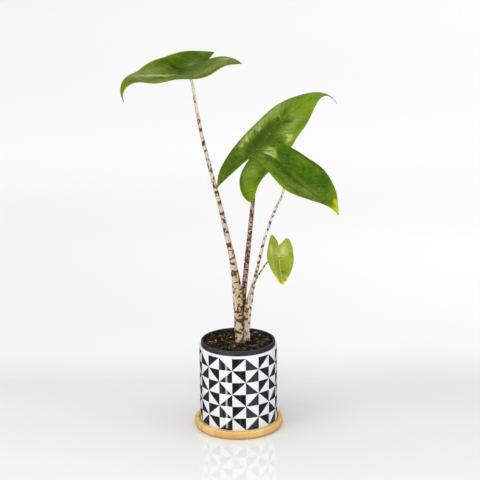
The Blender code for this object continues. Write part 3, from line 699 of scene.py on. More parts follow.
def perlite_look():
    look = Look("perlite", 0.8, Specular_IOR_Level=0.3)
    here = look.place()
    pits = look.cells(here, 1600.0)
    grain = look.noise(here, 900.0, 3.0)
    base = look.mix(look.step(pits, 0.35, 0.05), (0.66, 0.62, 0.52),
                    (0.38, 0.33, 0.24))
    look.colour(look.mix(look.mul(look.field("tone"), 0.5), base,
                         (0.40, 0.32, 0.22)))
    look.roughness(look.remap(grain, 0.3, 0.7, 0.7, 0.95))
    look.bump(look.add(pits, grain), 0.0004, 0.7)
    return look.mat


def rhizome_look():
    look = Look("rhizome_bark", 0.85, Specular_IOR_Level=0.25)
    here = look.place()
    x, y, z = look.xyz(here)
    ring = look.math("SINE", look.mul(z, 900.0))
    grain = look.noise(look.scaled(here, 300.0, 300.0, 900.0), 1.0, 4.0, 0.6)
    base = look.mix(look.step(grain, 0.3, 0.7), (0.10, 0.055, 0.025),
                    (0.36, 0.24, 0.13))
    look.colour(look.mix(look.mul(look.step(ring, 0.5, 0.95), 0.5), base,
                         (0.06, 0.032, 0.015)))
    look.roughness(look.remap(grain, 0.3, 0.7, 0.7, 0.95))
    look.bump(look.add(grain, look.mul(ring, 0.3)), 0.0006, 0.7)
    return look.mat


def petiole_look(name, pale, rosy, green, band, roughness=0.42,
                 soft=0.10, streaks=0.18):
    """A stalk with irregular dark bands on a pale ground. The dark field says
    how near a band's middle the surface is; the noise frays its edge. On the
    tall and right stalks the dark field also holds flecks of painted shade.
    rosy and green say how far the ground turns pinkish and olive; on the right
    stalk both also carry painted shade, and green does on the tall stalk too."""
    look = Look(name, roughness, Specular_IOR_Level=0.09)
    here = look.place()
    fray = look.noise(look.scaled(here, 1.0, 1.0, 0.8), 460.0, 3.0, 0.6)
    mottle = look.noise(look.scaled(here, 1.0, 1.0, 0.45), 260.0, 3.0, 0.6)
    fine = look.noise(look.scaled(here, 2200.0, 2200.0, 160.0), 1.0, 2.0)
    blush = look.add(look.mul(look.field("rosy"), 0.75),
                     look.mul(look.sub(mottle, 0.5), 1.5))
    ground = look.mix(look.step(blush, 0.05, 0.75), pale, rosy)
    # The green field, partly painted shade on the tall and right stalks, turns the ground olive.
    olive = look.add(look.field("green"), look.mul(look.sub(mottle, 0.5), 0.7))
    ground = look.mix(look.mul(look.step(olive, 0.15, 0.8), 0.92), ground,
                      green)
    speck = look.mul(look.step(fray, 0.60, 0.68), streaks)
    edge = look.add(look.field("dark"), look.mul(look.sub(fray, 0.5), 0.70))
    mask = look.step(edge, 0.5 - soft, 0.5 + soft)
    tone = look.mix(look.step(mottle, 0.42, 0.75), band,
                    tuple(min(1.0, 2.2 * c + 0.01) for c in band))
    ground = look.mix(speck, ground, tone)
    surface = look.mix(look.mul(mask, 0.95), ground, tone)
    # Papery brown and whitish scraps at the foot, where the stalks come out
    # of the mix.
    scraps = look.mix(look.step(mottle, 0.48, 0.56), (0.10, 0.055, 0.020),
                      (0.55, 0.44, 0.26))
    surface = look.mix(look.mul(look.field("foot"),
                                look.step(fray, 0.36, 0.52)), surface, scraps)
    look.colour(surface)
    look.roughness(look.remap(fray, 0.3, 0.7, roughness - 0.08,
                              roughness + 0.1))
    look.bump(look.add(look.mul(fine, 0.6), look.mul(mask, -0.25)),
              0.00025, 0.45)
    return look.mat


def leaf_look(name, deep, mid, pale, vein, glow, ripe, brown, under,
              roughness=0.34, specular=0.09, veined=0.40, pleats=0.5,
              glow_width=3.4, mottled=0.25):
    """Blade surface. Fields on the mesh say where a point lies: phi counts the
    side veins along the blade, gap is the distance between two of them, spine
    and rib the distances to the midrib and to a lobe's main vein, edge that to
    the margin (all in millimetres), along runs from 0 at the junction to 1 at
    the tip. Four soft zone fields say where sheen is painted, where shade is
    painted as a deeper green, where light is painted as a brighter green, and
    where the blade yellows. pale is the colour of the painted sheen, glow that
    of the painted light."""
    look = Look(name, roughness, Specular_IOR_Level=specular)
    here = look.place()
    phi, gap = look.field("phi"), look.field("gap")
    rib, spine = look.field("rib"), look.field("spine")
    edge, along = look.field("edge"), look.field("along")
    across, below = look.field("across"), look.field("below")
    cloud = look.noise(here, 26.0, 3.0, 0.55)
    blotch = look.noise(here, 90.0, 3.0, 0.6)
    fleck = look.noise(here, 900.0, 2.0)
    grit = look.noise(here, 330.0, 3.0, 0.65)
    # Streaks that follow the side veins from the midrib to the margin.
    streak = look.noise(look.vector(look.mul(phi, 3.4),
                                    look.mul(across, 3.0), below), 1.7, 3.0,
                        0.6)
    thread = look.noise(look.vector(look.mul(phi, 9.0),
                                    look.mul(across, 5.0), below), 2.1, 2.0,
                        0.6)

    def near_line(count):
        wave = look.mul(phi, count)
        off = look.sub(wave, look.math("FLOOR", look.add(wave, 0.5)))
        return look.mul(off, look.mul(gap, 1.0 / count))

    offset = near_line(1.0)
    side = look.math("ABSOLUTE", offset)
    side_veins = look.step(side, 0.80, 0.15)
    fine_veins = look.step(look.math("ABSOLUTE", near_line(6.0)), 0.34, 0.05)
    midrib = look.step(spine, 1.25, 0.45)
    lobe_vein = look.step(rib, 1.05, 0.35)
    # One side of a sunken side vein gets painted shade; the other side gets a strip of painted light in the pale
    # colour.
    shade = look.mul(look.step(offset, 0.05, 0.5), look.step(offset, 3.2, 0.6))
    shade = look.mul(shade, look.step(edge, 1.5, 6.0))
    lift = look.mul(look.step(offset, -0.1, -0.6),
                    look.step(offset, -3.4, -0.9))
    lift = look.mul(lift, look.step(edge, 1.5, 6.0))
    base = look.mix(look.step(cloud, 0.32, 0.68), deep, mid)
    base = look.mix(look.mul(look.step(streak, 0.45, 0.75), 0.35), base, mid)
    base = look.mix(look.mul(look.step(blotch, 0.48, 0.66), mottled), base,
                    tuple(0.62 * c for c in deep))
    base = look.mix(look.mul(look.step(blotch, 0.44, 0.30), mottled), base,
                    tuple(1.20 * c for c in mid))
    base = look.mix(look.mul(look.step(grit, 0.50, 0.64), mottled), base,
                    tuple(0.50 * c for c in deep))
    base = look.mix(look.mul(look.step(grit, 0.46, 0.34), 0.8 * mottled), base,
                    tuple(1.45 * c for c in mid))
    # Painted light: the green turns to the glow colour in the light zones.
    lit = look.math("MULTIPLY", look.field("painted_light"),
                    look.add(0.62, look.mul(streak, 0.76)), clamp=True)
    base = look.mix(lit, base, glow)
    # Painted sheen: pale patches along the streaks, with painted sheen streaks and painted glints where the sheen zones
    # are strongest.
    painted_sheen_mask = look.math("MULTIPLY", look.field("painted_sheen"),
                     look.add(look.mul(look.step(streak, 0.25, 0.62), 0.70),
                              look.mul(thread, 0.75)), clamp=True)
    base = look.mix(painted_sheen_mask, base, pale)
    sheen = look.mul(look.step(painted_sheen_mask, 0.62, 1.0), look.step(thread, 0.44, 0.66))
    base = look.mix(look.mul(sheen, 0.55), base,
                    tuple(1.45 * c + 0.02 for c in pale))
    glint = look.mul(look.step(look.field("painted_sheen"), 1.05, 1.45),
                     look.step(thread, 0.34, 0.56))
    base = look.mix(look.mul(glint, 0.75), base,
                    tuple(1.75 * c + 0.06 for c in pale))
    # Painted shade: a darker green in the shade zones, and darker painted shade in creases where they are strongest.
    painted_shade_mask = look.math("MULTIPLY", look.field("painted_shade"),
                     look.add(0.70, look.mul(streak, 0.60)), clamp=True)
    base = look.mix(painted_shade_mask, base, tuple(0.78 * c for c in deep))
    painted_crease_shade = look.mul(look.step(look.field("painted_shade"), 0.95, 1.25), 0.65)
    base = look.mix(painted_crease_shade, base, tuple(0.42 * c for c in deep))
    # Painted shade beside the sunken side veins, and painted light on their other side.
    base = look.mix(look.mul(shade, look.mul(look.step(blotch, 0.30, 0.62),
                                             pleats)),
                    base, tuple(0.60 * c for c in deep))
    base = look.mix(look.mul(lift, look.mul(look.step(cloud, 0.40, 0.62),
                                            0.45 * pleats)), base, pale)
    base = look.mix(look.mul(fine_veins, 0.10 * veined / 0.45), base, vein)
    base = look.mix(look.mul(look.step(fleck, 0.5, 0.8), 0.05), base, vein)
    base = look.mix(look.mul(side_veins, veined), base, vein)
    base = look.mix(look.mul(lobe_vein, 0.8 * veined), base, vein)
    # Painted shade in the groove along the midrib.
    painted_groove_shade = look.mul(look.step(spine, 3.2, 1.3), look.step(along, -0.02, 0.08))
    base = look.mix(look.mul(painted_groove_shade, 0.30), base, tuple(0.6 * c for c in deep))
    base = look.mix(look.mul(midrib, 0.60), base, vein)
    # Painted light along the margin, in the glow colour.
    rim = look.add(edge, look.mul(look.sub(blotch, 0.5), 2.4))
    base = look.mix(look.mul(look.step(rim, glow_width, 0.5), 0.55), base, glow)
    base = look.mix(look.mul(look.step(rim, 0.9, 0.2), 0.30), base, vein)
    aged = look.add(look.field("ripe"), look.mul(look.sub(blotch, 0.5), 0.5))
    base = look.mix(look.step(aged, 0.15, 1.0), base, ripe)
    point = look.add(along, look.mul(look.sub(blotch, 0.5), 0.03))
    base = look.mix(look.step(point, 0.965, 0.99), base, brown)
    # The underside: duller, with raised lighter veins that fade at the margin, painted shade beside the side veins and
    # painted light along the margin.
    lines = look.math("MAXIMUM",
                      look.mul(look.step(side, 1.0, 0.3), 0.70),
                      look.math("MAXIMUM", look.step(spine, 1.9, 0.8),
                                look.step(rib, 1.5, 0.6)))
    nerves = look.step(look.math("ABSOLUTE", near_line(4.0)), 0.40, 0.10)
    back = look.mix(look.step(cloud, 0.34, 0.66),
                    tuple(0.80 * c for c in under), under)
    back = look.mix(look.mul(look.step(streak, 0.42, 0.68), 0.55), back,
                    tuple(1.30 * c for c in under))
    back = look.mix(look.mul(shade, 0.55), back,
                    tuple(0.62 * c for c in under))
    back = look.mix(look.mul(nerves, 0.22), back,
                    tuple(1.7 * c for c in under))
    back = look.mix(look.mul(look.step(rim, glow_width, 0.5), 0.5), back, glow)
    back = look.mix(look.mul(lines, 0.85), back,
                    tuple(2.1 * c + 0.03 for c in under))
    back = look.mix(look.step(aged, 0.15, 1.0), back, ripe)
    base = look.mix(below, base, back)
    look.colour(base)
    gloss = look.add(look.remap(blotch, 0.3, 0.7, roughness - 0.06,
                                roughness + 0.08),
                     look.mul(below, 0.18))
    look.roughness(gloss)
    relief = look.add(look.mul(fine_veins, -0.35), look.mul(fleck, 0.25))
    relief = look.add(relief, look.mul(blotch, 0.8))
    relief = look.add(relief, look.mul(streak, 1.4))
    look.bump(relief, 0.00035, 0.6)
    return look.mat


# -------------------------------------------------------------------- blades
def blade_axes(spec):
    forward = np.array(spec["forward"], float)
    forward /= np.linalg.norm(forward)
    upper = np.array(spec["upper"], float)
    upper -= forward * (upper @ forward)
    upper /= np.linalg.norm(upper)
    return np.stack([forward, np.cross(upper, forward), upper], 1)


def blade_point(spec, s, w):
    """Flat blade coordinates (s along the midrib, w across, both in blade
    lengths) to world positions: the midrib is a bent curve, and each half is
    an arc that leaves it at its fold angle and curves down by its droop."""
    s, w = np.asarray(s, float), np.asarray(w, float)
    bend, gain, curl, lobe = spec["bend"]
    start = spec["curl_from"]
    g = np.linspace(-1.0, 1.0, 281)
    mid = len(g) // 2
    step = g[1] - g[0]
    rate = np.where(g >= 0, bend + gain * g, lobe)
    rate = rate + curl * eased(g, start, min(start + 0.12, 0.99))

    def summed(a):
        c = np.concatenate([[0], np.cumsum((a[1:] + a[:-1]) * 0.5 * step)])
        return c - c[mid]

    pitch = summed(rate)
    yaw = spec["sweep"] * g * np.abs(g)
    along = np.stack([np.cos(pitch) * np.cos(yaw),
                      np.cos(pitch) * np.sin(yaw), -np.sin(pitch)], 1)
    midrib = np.stack([summed(along[:, k]) for k in range(3)], 1)
    base = np.stack([np.interp(s, g, midrib[:, k]) for k in range(3)], -1)
    tangent = np.stack([np.interp(s, g, along[:, k]) for k in range(3)], -1)
    tangent /= np.linalg.norm(tangent, axis=-1, keepdims=True)
    turn = np.interp(s, g, yaw)
    across = np.stack([-np.sin(turn), np.cos(turn), 0 * turn], -1)
    normal = np.cross(tangent, across)
    twist = (spec["twist"] * s)[..., None]
    side = across * np.cos(twist) + normal * np.sin(twist)
    rise = -across * np.sin(twist) + normal * np.cos(twist)
    reach = np.abs(w)
    fold = np.where(w >= 0, spec["fold"][0], spec["fold"][1])
    droop = np.where(w >= 0, spec["droop"][0], spec["droop"][1])
    out = (np.sin(fold) - np.sin(fold - droop * reach)) / droop
    up = (np.cos(fold - droop * reach) - np.cos(fold)) / droop
    heights = []
    for c1, s1, c2, s2 in spec["wave"]:
        heights.append(c1 * np.cos(WAVE_TURNS[0] * s)
                       + s1 * np.sin(WAVE_TURNS[0] * s)
                       + c2 * np.cos(WAVE_TURNS[1] * s)
                       + s2 * np.sin(WAVE_TURNS[1] * s))
    up = up + (reach / WAVE_FULL_AT)**2 * np.where(w >= 0, *heights)
    local = base + side * (np.sign(w) * out)[..., None] + rise * up[..., None]
    return (local @ blade_axes(spec).T * spec["length"]
            + np.array(spec["junction"]))


def blade_normal(spec, s, w):
    """Unit normal of the upper side, taken from both halves on the midrib."""
    e = 1e-3
    total = 0
    for side in (-1, 1):
        sign = np.where(np.abs(w) < 1e-6, side, np.where(w > 0, 1, -1))
        w1, w2 = w + sign * e * 0.2, w + sign * e
        here = blade_point(spec, s, w1)
        ds = blade_point(spec, s + e, w1) - here
        dw = blade_point(spec, s, w2) - here
        n = np.cross(ds, dw) * sign[..., None]
        total = total + n / np.linalg.norm(n, axis=-1, keepdims=True)
    return total / np.linalg.norm(total, axis=-1, keepdims=True)


def half_outline(spec, half):
    w = spec[half]
    lobe_s, lobe_w = w[6], w[7]
    outer = ([(1.0, 0.0)] + list(zip(STATIONS, w[:5]))
             + [(-0.06 + (lobe_s + 0.06) * 0.55, w[5]), (lobe_s, lobe_w)])
    sinus = spec["sinus"]
    inner = [(-sinus, 0.0), (-sinus + (lobe_s + sinus) * 0.45, w[8]),
             (lobe_s, lobe_w)]
    # A pointed lobe has a corner at its tip; a blunt one curves round it.
    round_tip = spline(outer + inner[::-1][1:], 40)
    outer, inner = spline(outer, 40), spline(inner, 40)
    blunt = spec["blunt"][0 if half == "left" else 1]
    split = len(outer)
    outer = outer * (1 - blunt) + round_tip[:split] * blunt
    inner = inner * (1 - blunt) + round_tip[split - 1:][::-1] * blunt
    return outer, inner


def zones(spots, s, w):
    """Sum of soft oval zones on a flat blade."""
    total = 0 * s
    for at_s, at_w, half_s, half_w, turn, strength in spots:
        c, d = math.cos(math.radians(turn)), math.sin(math.radians(turn))
        u = ((s - at_s) * c + (w - at_w) * d) / half_s
        v = ((w - at_w) * c - (s - at_s) * d) / half_w
        total = total + strength * np.exp(-(u * u + v * v) ** 1.4)
    return total


# Where rows of points lie between two side veins: close together at a vein.
ROW_STEPS = (0.0, 0.028, 0.07, 0.14, 0.24, 0.36, 0.5,
             0.64, 0.76, 0.86, 0.93, 0.972)


def half_rows(spec, half, across, inner_across):
    """Rows of flat points that follow the side veins. The first grid runs from
    the midrib, and behind the junction from the lobe's main vein, to the outer
    margin; the second from the lobe's main vein to the inner margin."""
    front, back = spec["veins"]
    outer, inner = half_outline(spec, half)
    run = run_length(outer)
    phi = np.array([k + f for k in range(front + back) for f in ROW_STEPS]
                   + [front + back])
    turn = front * len(ROW_STEPS)
    s0 = 1 - (phi[:turn + 1] / front) ** 1.12
    where = []
    for s in s0:
        want = math.radians(72.0 - 28.0 * s)
        angle = np.arctan2(outer[:, 1], outer[:, 0] - s)
        hit = int(np.argmax(angle >= want))
        if hit == 0:
            where.append(0.0)
            continue
        a0, a1 = angle[hit - 1], angle[hit]
        f = np.clip((want - a0) / max(a1 - a0, 1e-9), 0, 1)
        where.append(run[hit - 1] + f * (run[hit] - run[hit - 1]))
    where[0] = 0.0
    where = np.maximum.accumulate(where)
    rest = (phi[turn:] - front) / back
    where = np.r_[where[:-1], where[-1] + (run[-1] - where[-1])
                  * (1 - (1 - rest) ** 1.05)]
    rim = at_run(outer, run, where)
    # The lobe's main vein, midway between the lobe's two margins.
    lobe = np.array(outer[-1])
    mid_s = lobe[0] * 0.55
    w_out = float(np.interp(mid_s, outer[::-1, 0], outer[::-1, 1]))
    w_in = float(np.interp(mid_s, inner[::-1, 0], inner[::-1, 1],
                           right=0.0)) if mid_s < inner[0, 0] else 0.0
    vein = spline([(0.0, 0.0), (mid_s, 0.46 * (w_out + w_in)), tuple(lobe)], 40)
    vein_run = run_length(vein)
    spine_back = at_run(vein, vein_run,
                        vein_run[-1] * (1 - (1 - rest) ** 1.25))
    spine = np.concatenate([np.stack([s0, 0 * s0], 1)[:-1], spine_back])
    inner_run = run_length(inner)
    rim_in = at_run(inner, inner_run,
                    inner_run[-1] * (1 - (1 - rest) ** 1.1))

    def filled(a, b, count, bow):
        u = np.arange(count + 1) / count
        t = u - 0.72 * np.sin(2 * math.pi * u) / (2 * math.pi)
        run_out = b - a
        size = np.linalg.norm(run_out, axis=1, keepdims=True)
        side = np.stack([-run_out[:, 1], run_out[:, 0]], 1)
        side = side / np.maximum(size, 1e-9)
        shape = (4 * t * (1 - t))[None, :, None]
        return (a[:, None] * (1 - t[None, :, None]) + b[:, None]
                * t[None, :, None]
                + side[:, None] * (size * bow[:, None])[:, None] * shape)

    bow = 0.055 * np.r_[np.ones(turn), 1 - rest]
    first = filled(spine, rim, across, bow)
    second = filled(spine_back, rim_in, inner_across, 0 * rest)
    vein_line = vein
    if half == "right":
        first[..., 1] *= -1
        second[..., 1] *= -1
        vein_line = vein * [1, -1]
        outer, inner = outer * [1, -1], inner * [1, -1]
    return dict(phi=phi, turn=turn, first=first, second=second,
                vein=vein_line, rim=np.concatenate([outer, inner[::-1]]))


def distance_to(line, pts, chunk=4000):
    """Distance of flat points to a polyline."""
    flat = pts.reshape(-1, 2)
    a, b = line[:-1], line[1:]
    ab = b - a
    len2 = np.maximum((ab ** 2).sum(1), 1e-12)
    out = np.empty(len(flat))
    for k in range(0, len(flat), chunk):
        p = flat[k:k + chunk, None]
        t = np.clip(((p - a) * ab).sum(-1) / len2, 0, 1)
        d = a + t[..., None] * ab - p
        out[k:k + chunk] = np.sqrt((d ** 2).sum(-1).min(1))
    return out.reshape(pts.shape[:-1])


def vein_gap(grid, phi, scale):
    """Distance between side veins at each point, across the rows."""
    dphi = np.gradient(phi)[:, None, None]
    step = np.gradient(grid, axis=0) / dphi
    row = np.gradient(grid, axis=1)
    row /= np.maximum(np.linalg.norm(row, axis=-1, keepdims=True), 1e-9)
    off = step - row * (step * row).sum(-1, keepdims=True)
    return np.linalg.norm(off, axis=-1) * scale


def blade(name, key, mat, across, inner_across):
    """A blade as a thin closed sheet with its veins, quilting and rolled
    margin."""
    spec = BLADES[key]
    size = spec["length"] / MM
    front, back = spec["veins"]
    flat, phi_of, gap_of, vein_d = [], [], [], []
    index = {}
    grids = []

    def give(k, s_w, phi, gap, dist):
        if k not in index:
            index[k] = len(flat)
            flat.append(s_w)
            phi_of.append(phi)
            gap_of.append(gap)
            vein_d.append(dist)
        return index[k]

    rims = []
    for half in ("left", "right"):
        rows = half_rows(spec, half, across, inner_across)
        phi, turn = rows["phi"], rows["turn"]
        last = len(phi) - 1
        for part, grid, offset in (("a", rows["first"], 0),
                                   ("b", rows["second"], turn)):
            gaps = vein_gap(grid, phi[offset:], size)
            dist = distance_to(rows["vein"], grid) * size
            ids = np.empty(grid.shape[:2], int)
            for i in range(grid.shape[0]):
                n = i + offset
                for j in range(grid.shape[1]):
                    if n == 0:
                        k = "tip"
                    elif n == last:
                        k = (half, "lobe")
                    elif j == 0:
                        k = ("rib", n) if n <= turn else (half, "vein", n)
                    elif part == "b" and n == turn:
                        k = ("axis", j)
                    else:
                        k = (half, part, n, j)
                    ids[i, j] = give(k, tuple(grid[i, j]), phi[n],
                                     gaps[i, j], dist[i, j])
            grids.append((half, part, ids))
        outer_ids = list(grids[-2][2][:, -1])
        inner_ids = list(grids[-1][2][:, -1])
        rims.append((half, outer_ids + inner_ids[::-1][1:]))
        if half == "left":
            rim_lines = [rows["rim"]]
        else:
            rim_lines.append(rows["rim"])

    flat = np.array(flat)
    phi = np.array(phi_of)
    gap = np.array(gap_of)
    s, w = flat[:, 0], flat[:, 1]
    lobe_rib = np.array(vein_d)
    centre_rib = np.hypot(w, np.minimum(s, 0.0)) * size
    rib = np.minimum(centre_rib, lobe_rib)
    edge = np.minimum(distance_to(rim_lines[0], flat),
                      distance_to(rim_lines[1], flat)) * size

    pos = blade_point(spec, s, w)
    nrm = blade_normal(spec, s, w)
    frac = phi - np.floor(phi)
    away = np.minimum(frac, 1 - frac)
    d = away * gap
    # Quilting: the green stands up between the side veins.
    swell = 1 - (1 - 2 * away) ** 2
    swell *= eased(edge, 0.0, 9.0) * eased(rib, 0.5, 9.0)
    swell *= np.clip(gap / 14.0, 0.15, 1.0)
    uneven = rough(pos * 34.0, 3, seed=5) * 0.55 * eased(rib, 0, 12)
    small = spec["length"] / 0.14
    upper_relief = (spec["quilt"] * swell + uneven * 0.35 * MM * small
                    - 0.10 * MM * bell(d, 0.55) * eased(rib, 0.3, 3)
                    - 0.32 * MM * bell(rib, 1.5)
                    + 0.22 * MM * bell(rib, 0.55))
    taper = 1 - 0.72 * np.clip(s, 0, 1) - 0.3 * np.clip(-s, 0, 1)
    lower_relief = (-spec["quilt"] * swell - uneven * 0.35 * MM * small
                    + 0.22 * MM * bell(d, 0.7) * eased(edge, 0, 6)
                    + (0.25 + 0.85 * taper) * MM * small
                    * bell(rib, 0.8 + 0.9 * taper))
    thick = BLADE_THICKNESS * (0.45 + 0.55 * eased(edge, 0.0, 2.5)) \
        * min(1.0, 0.6 + 0.4 * small)
    upper = pos + nrm * (thick / 2 + upper_relief)[:, None]
    lower = pos - nrm * (thick / 2 + lower_relief)[:, None]

    count = len(flat)
    faces = []
    for half, part, ids in grids:
        # A row's points run away from the spine; on the right half, and in
        # the grid inside a lobe, that turns a face's winding round.
        flip = (half == "left") != (part == "b")
        a, b, c, e = ids[:-1, :-1], ids[1:, :-1], ids[1:, 1:], ids[:-1, 1:]
        quads = np.stack([a, b, c, e], -1).reshape(-1, 4)
        for q in quads.tolist():
            seen = []
            for v in q:
                if v not in seen:
                    seen.append(v)
            if len(seen) < 3:
                continue
            up = seen[::-1] if flip else seen
            faces.append(up)
            faces.append([v + count for v in reversed(up)])
    # Rounded margin: one more line of points halfway down the edge.
    extra, extra_of = [], {}
    for half, run in rims:
        pts = pos[run]
        tangent = np.gradient(pts, axis=0)
        for k, v in enumerate(run):
            out = np.cross(nrm[v], tangent[k])
            out /= max(np.linalg.norm(out), 1e-12)
            if half == "left":
                out = -out
            if v in extra_of:
                extra[extra_of[v]] = extra[extra_of[v]] + out
            else:
                extra_of[v] = len(extra)
                extra.append(out)
    order = sorted(extra_of, key=lambda v: extra_of[v])
    outs = np.array(extra)
    outs /= np.maximum(np.linalg.norm(outs, axis=1, keepdims=True), 1e-9)
    rim_pts = pos[order] + outs * (thick[order] * 0.45)[:, None]
    for half, run in rims:
        for u, v in zip(run[:-1], run[1:]):
            mu, mv = 2 * count + extra_of[u], 2 * count + extra_of[v]
            one, two = [u, v, mv, mu], [mu, mv, v + count, u + count]
            if half == "right":
                one, two = one[::-1], two[::-1]
            faces.append(one)
            faces.append(two)
    verts = np.concatenate([upper, lower, rim_pts])

    def full(values):
        return np.concatenate([values, values, values[order]])

    obj = mesh_object(
        name, verts, faces, mat, None,
        dict(phi=full(phi), gap=full(np.clip(gap, 0.5, 60)),
             rib=full(lobe_rib), spine=full(centre_rib),
             edge=full(edge), along=full(s), across=full(w),
             # Zones of painted sheen, painted shade and painted light.
             painted_sheen=full(zones(spec["painted_sheen"], s, w)),
             painted_shade=full(zones(spec["painted_shade"], s, w)),
             painted_light=full(zones(spec["painted_light"], s, w)),
             ripe=full(zones(spec["ripe"], s, w)),
             below=np.r_[np.zeros(count), np.ones(count),
                         np.full(len(order), 0.0)]))
    return outward(obj)


# ------------------------------------------------------------------ petioles
def stalk_line(key, spacing):
    """Centres, half-widths, tangents and run of a petiole at even spacing. The
    last ring lies in the plane of the blade that it carries."""
    spec = BLADES[key]
    junction = np.array(spec["junction"])
    under = blade_normal(spec, np.array([0.0]), np.array([0.0]))[0]
    rows = [np.array(row) * MM for row in PETIOLES[key]]
    last = rows[-1].copy()
    last[:3] = junction - under * 0.15 * MM
    curve = spline(rows + [last], 40)
    run = run_length(curve[:, :3])
    count = int(run[-1] / spacing)
    where = np.linspace(0, run[-1], count + 1)
    curve = at_run(curve, run, where)
    centres, widths = curve[:, :3].copy(), curve[:, 3:].copy()
    to_end = (where[-1] - where) / MM
    # The last centimetre leans round into the blade and widens.
    tangents = np.gradient(centres, axis=0)
    tangents /= np.linalg.norm(tangents, axis=1, keepdims=True)
    lean = 1 - eased(to_end, 0.0, 7.0)
    tangents = tangents * (1 - lean[:, None]) + under * lean[:, None]
    tangents[0] = (0, 0, 1)
    tangents /= np.linalg.norm(tangents, axis=1, keepdims=True)
    flare = 1 + 0.55 * (1 - eased(to_end, 0.0, 5.0))
    widths *= flare[:, None]
    return centres, widths, tangents, where


def ellipse_at(key, z):
    """Centre and half-widths of a petiole where it crosses height z."""
    rows = np.array(PETIOLES[key]) * MM
    curve = spline(rows, 24)
    return [np.interp(z, curve[:, 2], curve[:, k]) for k in (0, 1, 3, 4)]


def pushed_out(points, key, top, clearance=0.12 * MM):
    """Moves points that lie inside another petiole out to its side."""
    out = points.copy()
    z = out[..., 2]
    cx, cy, a, b = ellipse_at(key, z)
    a, b = a + clearance, b + clearance
    dx, dy = (out[..., 0] - cx) / a, (out[..., 1] - cy) / b
    rho = np.maximum(np.hypot(dx, dy), 1e-6)
    inside = (rho < 1) & (z < top)
    k = np.where(inside, 1 / rho, 1.0)
    out[..., 0] = cx + dx * a * k
    out[..., 1] = cy + dy * b * k
    return out


def petiole(name, key, mat, sides, spacing, field, wrap=()):
    centres, widths, tangents, where = stalk_line(key, spacing)
    u = np.array([1.0, 0, 0]) - tangents * tangents[:, :1]
    u /= np.linalg.norm(u, axis=1, keepdims=True)
    v = np.cross(tangents, u)
    ang = 2 * math.pi * np.arange(sides) / sides
    ring = (centres[:, None]
            + widths[:, 0][:, None, None] * np.cos(ang)[None, :, None]
            * u[:, None]
            + widths[:, 1][:, None, None] * np.sin(ang)[None, :, None]
            * v[:, None])
    lump = noise(ring * 90.0, seed=21) * 0.018 + noise(
        ring * [420.0, 420.0, 40.0], seed=22) * 0.012
    ring = centres[:, None] + (ring - centres[:, None]) * (1 + lump)[..., None]
    for other, top in wrap:
        ring = pushed_out(ring, other, top)
    rings, sides = ring.shape[:2]
    verts = ring.reshape(-1, 3)
    faces = []
    for i in range(rings - 1):
        for k in range(sides):
            m = (k + 1) % sides
            faces.append((i * sides + k, i * sides + m,
                          (i + 1) * sides + m, (i + 1) * sides + k))
    faces.append(tuple(range(sides - 1, -1, -1)))
    faces.append(tuple((rings - 1) * sides + k for k in range(sides)))
    fields = field(ring, where[:, None] + 0 * ring[..., 0],
                   ang[None] + 0 * ring[..., 0])
    fields = {k: np.asarray(f).reshape(-1) for k, f in fields.items()}
    return mesh_object(name, verts, faces, mat, 60.0, fields)


def marked(ring, where, ang, marks, seed, ragged=1.0, bold=1.0):
    """Dark field of a stalk's broken bands, over 0.5 where it is dark. A mark
    is (run along the stalk in millimetres, middle and half-width of its arc in
    degrees, half-thickness in millimetres, strength); arcs count from the right
    side round the back, so -90 faces the front. Each has a fainter partner on
    the far side."""
    run = where / MM
    sway = (noise(ring * 115.0, seed) * 2.4 + noise(ring * 380.0, seed + 1)
            * 0.8) * ragged
    turn = (noise(ring * 170.0, seed + 2) * 0.45) * ragged
    total = 0 * run
    for n, (at, facing, arc, thick, strength) in enumerate(marks):
        lean = 1.3 * math.sin(2.3 * n + seed)
        pairs = ((at, facing, arc, thick, strength),
                 (at + 4.0 + 2.5 * math.sin(1.7 * n), facing + 165.0,
                  arc * 0.85, thick * 0.9, strength * 0.92))
        for r0, deg, half, high, k in pairs:
            off = ang - math.radians(deg) + turn
            off = (off + math.pi) % (2 * math.pi) - math.pi
            u = off / math.radians(half)
            v = (run + sway + lean * off - r0) / (high * bold)
            total = np.maximum(total, k * np.exp(-u ** 4 * 0.7 - v ** 2 * 0.7))
    return total


def specked(ring, size, seed, stretch=1.0):
    """Noise of blotches of a given size in millimetres, from 0 to 1."""
    p = ring / (size * MM) * [1.0, 1.0, 1.0 / stretch]
    return 0.5 + 0.5 * noise(p, seed) + 0.18 * noise(p * 2.1 + 5.0, seed + 1)


# ----------------------------------------------------------------------- pots
def make_saucer(mat):
    side = []
    for k in range(17):
        a = math.pi / 2 * k / 16
        side.append((SAUCER_FOOT_RADIUS
                     + (SAUCER_RADIUS - SAUCER_FOOT_RADIUS) * math.sin(a),
                     SAUCER_SIDE_BULGE_AT * (1 - math.cos(a))))
    r = 3.2 * MM
    side.append((SAUCER_RADIUS, SAUCER_HEIGHT - r))
    side += arc(SAUCER_RADIUS - r, SAUCER_HEIGHT - r, r, 5, 90, 12)
    inner = SAUCER_RECESS_RADIUS
    side += [(inner + 2.2 * MM, SAUCER_HEIGHT)]
    side += arc(inner + 1.2 * MM, SAUCER_HEIGHT - 1.2 * MM, 1.2 * MM,
                100, 180, 7)
    side += arc(inner - 0.9 * MM, SAUCER_RECESS_FLOOR + 0.9 * MM, 0.9 * MM,
                0, -90, 6)
    side = [(0.0, 0.0), (SAUCER_FOOT_RADIUS * 0.5, 0.0),
            (SAUCER_FOOT_RADIUS - 1.2 * MM, 0.0)] + side \
        + [(40 * MM, SAUCER_RECESS_FLOOR), (0.0, SAUCER_RECESS_FLOOR)]
    obj = turned("saucer_bamboo", side, mat, 256, 30.0)
    return place(obj, "bamboo", "saucer")


